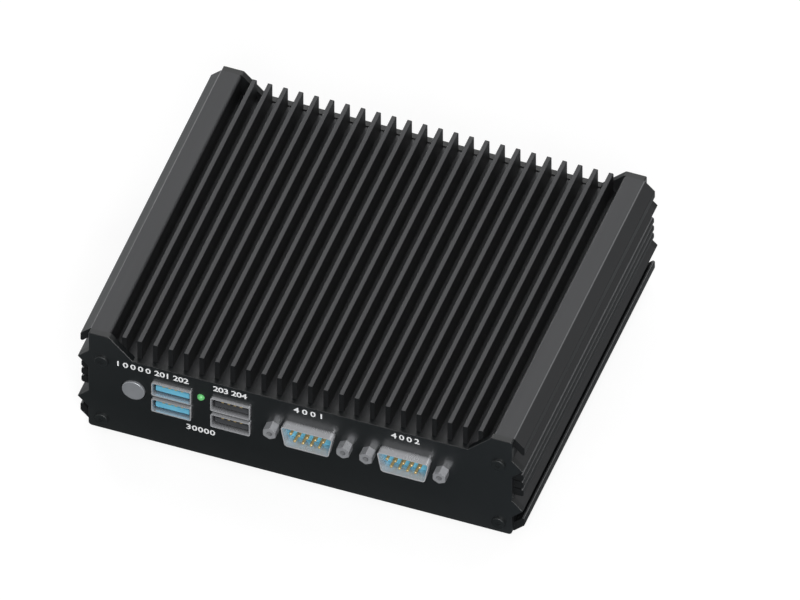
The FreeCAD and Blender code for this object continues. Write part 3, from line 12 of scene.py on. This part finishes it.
import bpy
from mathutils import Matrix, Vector


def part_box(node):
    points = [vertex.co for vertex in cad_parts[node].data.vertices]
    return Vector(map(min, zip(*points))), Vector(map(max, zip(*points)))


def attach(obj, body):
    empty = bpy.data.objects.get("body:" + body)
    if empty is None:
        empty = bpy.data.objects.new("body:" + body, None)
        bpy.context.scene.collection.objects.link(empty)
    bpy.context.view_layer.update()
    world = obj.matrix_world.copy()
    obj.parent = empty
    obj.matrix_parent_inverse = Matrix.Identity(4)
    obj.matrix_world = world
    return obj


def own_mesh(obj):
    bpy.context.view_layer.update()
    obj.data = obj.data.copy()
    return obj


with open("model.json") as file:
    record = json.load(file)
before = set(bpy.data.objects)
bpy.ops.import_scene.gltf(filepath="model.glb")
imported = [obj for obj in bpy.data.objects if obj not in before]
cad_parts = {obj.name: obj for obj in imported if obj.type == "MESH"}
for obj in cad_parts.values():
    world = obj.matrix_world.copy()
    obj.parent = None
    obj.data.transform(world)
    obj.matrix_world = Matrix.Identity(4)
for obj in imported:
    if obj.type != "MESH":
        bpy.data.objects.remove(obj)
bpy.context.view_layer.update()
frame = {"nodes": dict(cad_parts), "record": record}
nodes = frame["nodes"]
MM = 0.001

# %% [markdown]
# ## Measures taken from the frame
# Print that sits on the panel over a socket needs its place from the frame, not from a guess. The
# helper gives the middle of any node's box. The outer edge of the corner rails lies inside the
# tips of the panel's ears by as much as the ears reach out over the ribs.

# %% Where things are
EAR_REACH = 4.9 * MM


def middle(name):
    """The middle of a node's box."""
    low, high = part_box(name)
    return (low + high) / 2


front_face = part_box("front_panel")[0].y
rear_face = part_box("rear_panel")[1].y
rail_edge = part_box("front_panel")[1].x - EAR_REACH
connector_height = middle("serial_1_shell").z
print("front face", front_face, "rear face", rear_face, "connector height", connector_height)

# %% [markdown]
# ## Camera
# Edges that run away from us stay parallel in this view, so the camera is orthographic: it has a
# width in metres instead of a focal length. Two angles say where it looks from, and the aim point
# is a place inside the case that comes out in the middle of the picture.

# %% Set up the camera
VIEW_AZIMUTH = math.radians(20)
VIEW_ELEVATION = math.radians(46)
VIEW_WIDTH = 0.256
VIEW_AIM = Vector((0.00574, 0.01444, 0.01120))
CAMERA_DISTANCE = 1.0
VIEW_DEPTH = 10

towards_camera = Vector((
    math.sin(VIEW_AZIMUTH) * math.cos(VIEW_ELEVATION),
    -math.cos(VIEW_AZIMUTH) * math.cos(VIEW_ELEVATION),
    math.sin(VIEW_ELEVATION),
))
camera_data = bpy.data.cameras.new("camera")
camera_data.type = "ORTHO"
camera_data.ortho_scale = VIEW_WIDTH
camera_data.clip_end = VIEW_DEPTH
camera = bpy.data.objects.new("camera", camera_data)
camera.location = VIEW_AIM + towards_camera * CAMERA_DISTANCE
camera.rotation_euler = towards_camera.to_track_quat("Z", "Y").to_euler()
bpy.context.scene.collection.objects.link(camera)
bpy.context.scene.camera = camera
bpy.context.scene.view_settings.view_transform = "Standard"
print("camera at", tuple(round(value, 4) for value in camera.location))

# %% [markdown]
# ## Shader maths
# Finishes are sums and products of patterns. Wiring every Math node by hand hides the idea, so a
# small class wraps a node's output and lets Python's operators add the nodes. Colours and vectors
# have nodes of their own, because a Math node would turn a colour grey.


# %% A socket that does sums
class Socket:
    """A number that flows between nodes. Arithmetic on it adds Math nodes."""

    def __init__(self, finish, output):
        self.finish = finish
        self.output = output

    def math(self, operation, first, second):
        node = {"operation": operation}
        return self.finish.node("ShaderNodeMath", node, {0: first, 1: second})

    def __add__(self, other):
        return self.math("ADD", self, other)

    def __radd__(self, other):
        return self.math("ADD", other, self)

    def __sub__(self, other):
        return self.math("SUBTRACT", self, other)

    def __rsub__(self, other):
        return self.math("SUBTRACT", other, self)

    def __mul__(self, other):
        return self.math("MULTIPLY", self, other)

    def __rmul__(self, other):
        return self.math("MULTIPLY", other, self)


# %% [markdown]
# A finish is one material's node tree. Its methods add the few kinds of node that this case needs,
# and one general method adds any other from its type, its settings and its sockets.


# %% The finish kit
class Finish:
    """Builds one material: patterns in, one Principled shader out."""

    COLOUR_A, COLOUR_B, COLOUR_RESULT = 6, 7, 2

    def __init__(self, name, tree=None):
        if tree is None:
            self.material = bpy.data.materials.new(name)
            self.material.use_nodes = True
            tree = self.material.node_tree
        self.tree = tree
        self.shader = self.tree.nodes.get("Principled BSDF")

    def node(self, kind, settings=None, inputs=None, output=0):
        """Adds any node: its settings first, then the values or links of its sockets."""
        node = self.tree.nodes.new(kind)
        for name, value in (settings or {}).items():
            setattr(node, name, value)
        for name, value in (inputs or {}).items():
            self.feed(node.inputs[name], value)
        return Socket(self, node.outputs[output])

    def feed(self, target, value):
        """Gives a socket its value, or a link where the value comes from another node."""
        if isinstance(value, Socket):
            self.tree.links.new(value.output, target)
        else:
            target.default_value = value

    def place(self, scale=(1, 1, 1)):
        """The point on the piece, in metres of the object's own space, stretched by scale."""
        point = self.node("ShaderNodeTexCoord", output="Object")
        return self.node("ShaderNodeVectorMath", {"operation": "MULTIPLY"}, {0: point, 1: scale})

    def part(self, vector, axis):
        """One axis of a vector, as a number."""
        return self.node("ShaderNodeSeparateXYZ", {}, {"Vector": vector}, output=axis)

    def far_out(self, axis):
        """Distance from the middle of the case along one axis, whichever way."""
        along = self.part(self.place(), axis)
        return self.node("ShaderNodeMath", {"operation": "ABSOLUTE"}, {0: along})

    def facing(self, axis):
        """How far the surface faces along an axis of the object's own space."""
        return self.part(self.node("ShaderNodeTexCoord", output="Normal"), axis)

    def noise(self, scale, detail=3.0, stretch=(1, 1, 1)):
        """A soft random pattern from 0 to 1, around 0.5."""
        inputs = {"Vector": self.place(stretch), "Scale": scale, "Detail": detail}
        return self.node("ShaderNodeTexNoise", {}, inputs)

    def spread(self, value, low, high):
        """Maps a part of a value's range to the whole of 0 to 1."""
        inputs = {"Value": value, "From Min": low, "From Max": high}
        return self.node("ShaderNodeMapRange", {}, inputs)

    def mix(self, factor, first, second):
        """A colour between two colours."""
        inputs = {"Factor": factor, self.COLOUR_A: first, self.COLOUR_B: second}
        settings = {"data_type": "RGBA"}
        return self.node("ShaderNodeMix", settings, inputs, output=self.COLOUR_RESULT)

    def bump(self, height, distance, strength=1.0):
        """A normal tilted by a pattern of heights, whose full step is distance in metres."""
        inputs = {"Height": height, "Distance": distance, "Strength": strength}
        return self.node("ShaderNodeBump", {}, inputs)

    def surface(self, **values):
        """Sets the shader's own sockets. Underscores in a name stand for spaces."""
        for name, value in values.items():
            self.feed(self.shader.inputs[name.replace("_", " ")], value)
        return self.material


def rgb(red, green, blue):
    return (red, green, blue, 1.0)


print("finish kit ready")

# %% [markdown]
# ## Studio
# The case is nearly black, so it shows its form by what it mirrors. The floor is white to the eye,
# but each side of the case needs another tone of it in its gloss. Light Path tells those rays
# apart, and the floor's own diffuse part still takes the shadow of the case.

# %% Floor
FLOOR_SIZE = 6.0
FLOOR_DROP = 0.1 * MM
FLOOR_GLOW = 0.83
FLOOR_TONES = rgb(0.21, 0.21, 0.21), rgb(0.23, 0.23, 0.23)
MIRRORED_FRONT = rgb(0.042, 0.050, 0.053)
MIRRORED_RIGHT = rgb(0.070, 0.082, 0.090)
MIRRORED_SIDE = rgb(0.26, 0.27, 0.275)
MIRRORED_LEFT = rgb(0.85, 0.87, 0.88)


def mirrored_floor(finish):
    """The floor's tone in the case's own gloss: dark in front, pale to the left."""
    place = finish.place()
    across = finish.part(place, "X")
    front = finish.mix(finish.spread(across, 0.01, 0.07), MIRRORED_FRONT, MIRRORED_RIGHT)
    beside = finish.spread(finish.part(place, "Y"), -0.075, -0.03)
    round_the_case = finish.mix(beside, front, MIRRORED_SIDE)
    return finish.mix(finish.spread(across, -0.10, -0.16), round_the_case, MIRRORED_LEFT)


def floor_finish():
    finish = Finish("studio_floor")
    finish.tree.nodes.remove(finish.shader)
    camera_ray = finish.node("ShaderNodeLightPath", output="Is Camera Ray")
    glossy_ray = finish.node("ShaderNodeLightPath", output="Is Glossy Ray")
    through_ray = finish.node("ShaderNodeLightPath", output="Is Transmission Ray")
    grain = finish.spread(finish.noise(30.0), 0.3, 0.7)
    plain_tone = finish.mix(grain, *FLOOR_TONES)
    tone = finish.mix(glossy_ray, plain_tone, mirrored_floor(finish))
    matt = finish.node("ShaderNodeBsdfDiffuse", {}, {"Color": tone})
    seen = camera_ray + through_ray
    light = {"Color": rgb(1, 1, 1), "Strength": seen * FLOOR_GLOW}
    glow = finish.node("ShaderNodeEmission", {}, light)
    both = finish.node("ShaderNodeAddShader", {}, {0: matt, 1: glow})
    finish.feed(finish.tree.nodes["Material Output"].inputs["Surface"], both)
    return finish.material


def deselect():
    for thing in bpy.context.selected_objects:
        thing.select_set(False)


deselect()
bpy.ops.mesh.primitive_plane_add(size=FLOOR_SIZE, location=(0, 0, -FLOOR_DROP))
floor = bpy.context.active_object
floor.name = "studio_floor"
floor.data.materials.append(floor_finish())
print("floor", floor.dimensions.x, "m wide")

# %% [markdown]
# A weak sky grades what no lamp reaches, and is white where the camera looks straight at it. It is
# a little brighter overhead than near the horizon, so that what faces up stands out.

# %% Sky
SKY_HIGH = 0.36
SKY_LOW = 0.26

world = bpy.data.worlds.new("studio_sky")
world.use_nodes = True
bpy.context.scene.world = world
sky = Finish("studio_sky", world.node_tree)
camera_ray = sky.node("ShaderNodeLightPath", output="Is Camera Ray")
background = world.node_tree.nodes["Background"]
background.inputs["Color"].default_value = rgb(1, 1, 1)
direction = sky.node("ShaderNodeTexCoord", output="Generated")
height = sky.part(direction, "Z")
ramp = {"Value": height, "From Min": 0.1, "From Max": 0.7, "To Min": SKY_LOW, "To Max": SKY_HIGH}
strength = sky.node("ShaderNodeMapRange", {"interpolation_type": "SMOOTHSTEP"}, ramp)
sky.feed(background.inputs["Strength"], camera_ray * (1 - strength) + strength)
print("sky from", SKY_LOW, "to", SKY_HIGH)

# %% [markdown]
# One large key lamp stands where the flat tops of rails and fins mirror it, and a fill in front
# lights print and sockets. A low lamp grades the right side, and two small ones behind draw the
# rounded edges. Each has a place and a width in metres, and a power in watts.

# %% Lamps
LAMPS = {
    "key_lamp": ((-0.50, 1.37, 1.51), 1.6, 14.0),
    "front_fill": ((0.6, -1.6, 1.1), 1.0, 32.0),
    "right_low_lamp": ((1.5, 1.35, 0.5), 1.2, 2.3),
    "left_edge_lamp": ((-1.08, 1.04, 0.55), 0.2, 2.0),
    "right_edge_lamp": ((0.54, 1.04, 1.08), 0.2, 1.6),
}


def add_lamp(name, location, size, power):
    """A square lamp that faces the case."""
    data = bpy.data.lights.new(name, "AREA")
    data.size = size
    data.energy = power
    lamp = bpy.data.objects.new(name, data)
    lamp.location = location
    lamp.rotation_euler = Vector(location).to_track_quat("Z", "Y").to_euler()
    bpy.context.scene.collection.objects.link(lamp)


for lamp_name, (location, size, power) in LAMPS.items():
    add_lamp(lamp_name, location, size, power)
print("lamps", list(LAMPS))

# %% [markdown]
# ## Black anodised extrusion
# The finned case is pressed through a die and then anodised black. The die leaves fine lines along
# the length, and the coat is a satin skin with a faint mottle. Noise squeezed across the length
# makes the lines, and a second, finer noise is the etched grain under the coat. Rounded faces at
# the rails' outer edges get a painted highlight, a lighter colour found by the way they face.

# %% Heatsink finish
# Painted highlight: the lighter colour on rounded outer edges, and the band inside the rails'
# outer edge where it starts.
PAINTED_EDGE_HIGHLIGHT = rgb(0.11, 0.112, 0.115)
PAINTED_HIGHLIGHT_BAND = 0.5 * MM


def anodised_heatsink():
    finish = Finish("anodised_heatsink")
    lines = finish.noise(1.0, 4.0, (2600, 14, 2600))
    grain = finish.noise(5200.0, 2.0)
    cloud = finish.spread(finish.noise(55.0), 0.35, 0.65)
    streak = finish.spread(lines, 0.3, 0.7)
    dark, light = rgb(0.0075, 0.0080, 0.0084), rgb(0.0125, 0.0130, 0.0134)
    tone = finish.mix(streak * 0.5 + cloud * 0.3, dark, light)
    height = lines * 0.6 + grain * 0.4
    upwards = finish.facing("Z")
    # Mask for the painted highlight: faces turned partly up, at and beyond the rails' outer edge.
    rounded = finish.spread(upwards, 0.74, 0.86) * finish.spread(upwards, 0.995, 0.96)
    outer = finish.spread(finish.far_out("X"), rail_edge - PAINTED_HIGHLIGHT_BAND, rail_edge)
    return finish.surface(
        Base_Color=finish.mix(rounded * outer, tone, PAINTED_EDGE_HIGHLIGHT),
        Specular_Tint=rgb(0.955, 0.965, 1.0),
        Roughness=streak * 0.08 + grain * 0.08 + 0.32,
        Normal=finish.bump(height, 0.00002, 0.5),
    )


# %% [markdown]
# ## Powder-coated panels
# The two end panels are flat plates with a dark powder coat. It flows out to a very fine orange
# peel, so the connectors show in it as soft smears. The bump is tiny and the colour nearly even.
# The glossy coat leaves out what faces up, where a broken edge would shine like a wire.


# %% Panel finish
def panel_black():
    finish = Finish("panel_black")
    peel = finish.noise(1900.0, 2.0)
    fine = finish.noise(6500.0, 1.0)
    cloud = finish.spread(finish.noise(40.0), 0.3, 0.7)
    tone = finish.mix(cloud, rgb(0.0030, 0.0042, 0.0048), rgb(0.0042, 0.0054, 0.0060))
    return finish.surface(
        Base_Color=tone,
        Roughness=cloud * 0.04 + fine * 0.05 + 0.40,
        Coat_Weight=1 - finish.spread(finish.facing("Z"), 0.35, 0.65),
        Coat_IOR=1.93,
        Coat_Roughness=0.34,
        Normal=finish.bump(peel * 0.7 + fine * 0.3, 0.000012, 0.4),
    )


# %% [markdown]
# ## Metals
# Screws, shells, spring and pins are all small metal pieces, told apart by colour, by how rough
# they are and by the marks of their making. One function makes them all, with a stretch for the
# direction of the marks. The tinned sheet of the sockets is only half bare metal outside.


# %% Metal finishes
def metal(
    name, dark, light, roughness, metallic=1.0, stretch=(1, 1, 1), marks=2400.0, depth=0.000004
):
    """A metal with two close tones, mottled roughness and fine marks."""
    finish = Finish(name)
    mark = finish.noise(marks, 3.0, stretch)
    cloud = finish.spread(finish.noise(160.0), 0.3, 0.7)
    tone = finish.mix(finish.spread(mark, 0.3, 0.7) * 0.5 + cloud * 0.5, rgb(*dark), rgb(*light))
    return finish.surface(
        Base_Color=tone,
        Metallic=metallic,
        Roughness=cloud * 0.06 + mark * 0.10 + (roughness - 0.08),
        Normal=finish.bump(mark, depth, 0.5),
    )


def connector_metal():
    """Tinned sheet. Deep inside a mouth it is unworn, so it mirrors what is at the bottom."""
    dark, light = (0.61, 0.62, 0.645), (0.68, 0.69, 0.715)
    worn, unworn = 0.35, 0.95
    material = metal("connector_metal", dark, light, 0.26, worn, (1, 0.2, 1), 5200.0, 0.0000015)
    finish = Finish("connector_metal", material.node_tree)
    deep = finish.spread(finish.far_out("Y"), rear_face + 1.4 * MM, rear_face - 1.2 * MM)
    finish.feed(finish.shader.inputs["Metallic"], deep * (unworn - worn) + worn)
    return material


def jackscrew_nickel():
    dark, light = (0.39, 0.40, 0.42), (0.45, 0.46, 0.48)
    return metal("jackscrew_nickel", dark, light, 0.3, 0.4, marks=5200.0)


def button_metal():
    dark, light = (0.37, 0.385, 0.41), (0.42, 0.435, 0.46)
    return metal("button_metal", dark, light, 0.42, 0.5, marks=5200.0)


def screw_black():
    dark, light = (0.010, 0.012, 0.0128), (0.018, 0.021, 0.022)
    return metal("screw_black", dark, light, 0.44, 0.1, marks=3000.0)


def spring_steel():
    return metal("spring_steel", (0.50, 0.50, 0.51), (0.60, 0.60, 0.61), 0.3, 1.0)


def contact_gold():
    return metal("contact_gold", (0.50, 0.36, 0.15), (0.60, 0.46, 0.22), 0.38, 0.3)


def brass_parts():
    return metal("brass_parts", (0.60, 0.43, 0.17), (0.70, 0.52, 0.24), 0.34, 1.0, (1, 1, 8))


def spreader_aluminium():
    dark, light = (0.62, 0.63, 0.65), (0.72, 0.73, 0.75)
    return metal("spreader_aluminium", dark, light, 0.35, 1.0, (1, 0.05, 1))


def can_aluminium():
    dark, light = (0.60, 0.61, 0.63), (0.70, 0.71, 0.73)
    return metal("can_aluminium", dark, light, 0.26, 1.0, (1, 1, 0.1))


# %% [markdown]
# ## Plastics and rubber
# Moulded pieces take the fine spark texture of their mould. A speck of it in the bump and a little
# unevenness in the gloss are enough at this size. The light pipe is clear green and lit from
# behind, so it also glows.


# %% Plastic finishes
def moulded(name, dark, light, roughness, texture=3600.0, depth=0.000010):
    """A moulded plastic or rubber with two close tones and a fine texture."""
    finish = Finish(name)
    spark = finish.noise(texture, 2.0)
    cloud = finish.spread(finish.noise(220.0), 0.3, 0.7)
    return finish.surface(
        Base_Color=finish.mix(cloud, rgb(*dark), rgb(*light)),
        Roughness=spark * 0.12 + (roughness - 0.06),
        Normal=finish.bump(spark, depth, 0.5),
    )


def blue_plastic():
    return moulded("blue_plastic", (0.12, 0.42, 0.60), (0.16, 0.50, 0.68), 0.40)


def grey_plastic():
    return moulded("grey_plastic", (0.040, 0.042, 0.046), (0.052, 0.054, 0.058), 0.45)


def black_plastic():
    return moulded("black_plastic", (0.012, 0.012, 0.013), (0.020, 0.020, 0.021), 0.48)


def foot_rubber():
    dark, light = (0.014, 0.014, 0.014), (0.024, 0.024, 0.024)
    return moulded("foot_rubber", dark, light, 0.72, 2200.0, 0.00003)


def pad_grey():
    return moulded("pad_grey", (0.28, 0.31, 0.36), (0.34, 0.37, 0.42), 0.65, 1500.0, 0.00004)


def chip_black():
    return moulded("chip_black", (0.016, 0.016, 0.018), (0.024, 0.024, 0.026), 0.4)


def green_lens():
    """Clear green, with the light behind it shown as a weak glow of its own."""
    lens_glow = 0.22
    finish = Finish("green_lens")
    swirl = finish.spread(finish.noise(900.0), 0.3, 0.7)
    glow = finish.mix(swirl, rgb(0.10, 0.44, 0.13), rgb(0.14, 0.50, 0.17))
    return finish.surface(
        Base_Color=glow,
        Roughness=swirl * 0.08 + 0.2,
        Emission_Color=glow,
        Emission_Strength=lens_glow,
    )


# %% [markdown]
# ## Circuit board
# The solder mask is a green lacquer over copper. Where copper lies under it the green is lighter.
# Bricks stand for the copper areas and the fine tracks, and their faint step goes to the bump.


# %% Board finish
def board_green():
    finish = Finish("board_green")
    inputs = {"Vector": finish.place(), "Scale": 260.0, "Mortar Size": 0.012}
    inputs.update({"Color1": rgb(1, 1, 1), "Color2": rgb(0.6, 0.6, 0.6), "Mortar": rgb(0, 0, 0)})
    tracks = finish.node("ShaderNodeTexBrick", {}, inputs, output="Color")
    step = finish.node("ShaderNodeRGBToBW", {}, {"Color": tracks})
    cloud = finish.spread(finish.noise(90.0), 0.3, 0.7)
    tone = finish.mix(step * 0.7 + cloud * 0.3, rgb(0.006, 0.055, 0.022), rgb(0.014, 0.12, 0.05))
    return finish.surface(
        Base_Color=tone,
        Roughness=cloud * 0.1 + 0.25,
        Normal=finish.bump(step, 0.00002, 0.4),
    )


# %% [markdown]
# ## Dressing the nodes
# The record says which material slot each node has. One finish is made for each slot, by the
# function of the slot's name, and every node of that slot shares it, so the same metal looks the
# same everywhere. Only the jackscrews, of the same slot as the sockets' sheet, take a duller
# nickel of their own.

# %% Give each node its finish
MAKERS = [
    anodised_heatsink,
    panel_black,
    screw_black,
    foot_rubber,
    button_metal,
    spring_steel,
    black_plastic,
    green_lens,
    connector_metal,
    board_green,
    brass_parts,
    chip_black,
    pad_grey,
    spreader_aluminium,
    can_aluminium,
    contact_gold,
    blue_plastic,
    grey_plastic,
]
finishes = {make.__name__: make() for make in MAKERS}
for entry in frame["record"]["subparts"]:
    mesh = nodes[entry["node"]].data
    mesh.materials.clear()
    mesh.materials.append(finishes[entry["material_slot"]])
nodes["jackscrews"].data.materials[0] = jackscrew_nickel()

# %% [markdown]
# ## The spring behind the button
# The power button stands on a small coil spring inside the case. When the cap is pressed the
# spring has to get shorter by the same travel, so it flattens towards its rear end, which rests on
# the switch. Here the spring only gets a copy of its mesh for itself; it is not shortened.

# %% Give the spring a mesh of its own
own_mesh(nodes["power_button_spring"])

# %% [markdown]
# ## Printed numerals
# The real panel is screen printed in white, one short line of capitals over each socket. Here the
# lines are plain numbers of about the same size and weight. Blender's own font becomes a mesh that
# lies a few hundredths of a millimetre proud of the coat, as a thick ink does. The letter spacing
# is set from two measured widths, so that each line comes out as wide as it has to be.


# %% Ink and printing
def white_ink():
    finish = Finish("white_ink")
    speck = finish.spread(finish.noise(4200.0), 0.3, 0.7)
    return finish.surface(
        Base_Color=finish.mix(speck, rgb(0.86, 0.87, 0.88), rgb(0.94, 0.95, 0.96)),
        Roughness=speck * 0.15 + 0.5,
        Normal=finish.bump(speck, 0.000004, 0.4),
    )


INK = white_ink()
INK_THICKNESS = 0.03 * MM
NUMERAL_HEIGHT = 2.15 * MM
NUMERAL_STRETCH = 1.22
NUMERAL_SHARE = 0.69  # a numeral's height as a share of the font's size
INK_SPREAD = 0.055 * MM


def apply_place(thing):
    """Moves an object's place, turn and scale into its mesh."""
    deselect()
    thing.select_set(True)
    bpy.context.view_layer.objects.active = thing
    bpy.ops.object.transform_apply(location=True, rotation=True, scale=True)


def width_of(text):
    """The width of a line of text as it is now."""
    bpy.context.view_layer.update()
    return text.dimensions.x


def print_numerals(name, words, x, z, width, face_y, facing):
    """A line of numerals on a panel. Facing is -1 for the front panel and 1 for the rear one."""
    deselect()
    bpy.ops.object.text_add()
    text = bpy.context.active_object
    text.name = name
    text.data.body = words
    text.data.align_x = "CENTER"
    text.data.align_y = "CENTER"
    text.data.size = NUMERAL_HEIGHT / NUMERAL_SHARE
    text.data.offset = INK_SPREAD
    text.data.resolution_u = 3
    text.scale.x = NUMERAL_STRETCH
    tight = width_of(text)
    text.data.space_character = 2.0
    loose = width_of(text)
    text.data.space_character = 1.0 + (width - tight) / (loose - tight)
    text.data.extrude = INK_THICKNESS / 2
    bpy.ops.object.convert(target="MESH")
    upright, turn = math.radians(90), math.radians(90 + 90 * facing)
    text.rotation_euler = (upright, 0, turn)
    text.location = (x, face_y + facing * INK_THICKNESS / 2, z)
    apply_place(text)
    text.data.materials.clear()
    text.data.materials.append(INK)
    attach(text, "case")
    print(name, "width", round(width_of(text) / MM, 2), "mm")


# %% [markdown]
# Each front line stands over or under its own piece. Its number of characters follows the length
# of the real line. The table gives the numerals, the piece, a small shift to the side, the height
# on the panel, and the width. The shift and the width are in millimetres.

# %% Print the front panel
UPPER_LINE = connector_height + 10.2 * MM
LOWER_LINE = connector_height - 10.4 * MM
FRONT_LINES = {
    "numerals_button": ("10000", "power_button_cap", -0.2, UPPER_LINE, 11.4),
    "numerals_blue_port": ("201 202", "blue_port_shell", -0.2, UPPER_LINE, 11.7),
    "numerals_grey_port": ("203 204", "grey_port_shell", -0.4, UPPER_LINE, 11.5),
    "numerals_light": ("30000", "status_light_lens", -0.1, LOWER_LINE, 9.8),
    "numerals_serial_1": ("4001", "serial_1_shell", -0.3, UPPER_LINE, 9.7),
    "numerals_serial_2": ("4002", "serial_2_shell", -0.2, UPPER_LINE, 9.7),
}
for name, (words, node, shift, z, width) in FRONT_LINES.items():
    x = middle(node).x + shift * MM
    print_numerals(name, words, x, z, width * MM, front_face, -1)

# %% [markdown]
# The rear row takes one short number over each socket, at the same height as in front.

# %% Print the rear panel
REAR_WIDTH = 3.4 * MM
REAR_LINES = {
    "numerals_power_jack": ("50", "dc_jack_body"),
    "numerals_flat_video": ("51", "flat_video_shell"),
    "numerals_video": ("52", "video_shell"),
    "numerals_network_1": ("53", "network_1_shell"),
    "numerals_network_2": ("54", "network_2_shell"),
    "numerals_rear_port": ("55", "rear_port_shell"),
}
for name, (words, node) in REAR_LINES.items():
    print_numerals(name, words, middle(node).x, UPPER_LINE, REAR_WIDTH, rear_face, 1)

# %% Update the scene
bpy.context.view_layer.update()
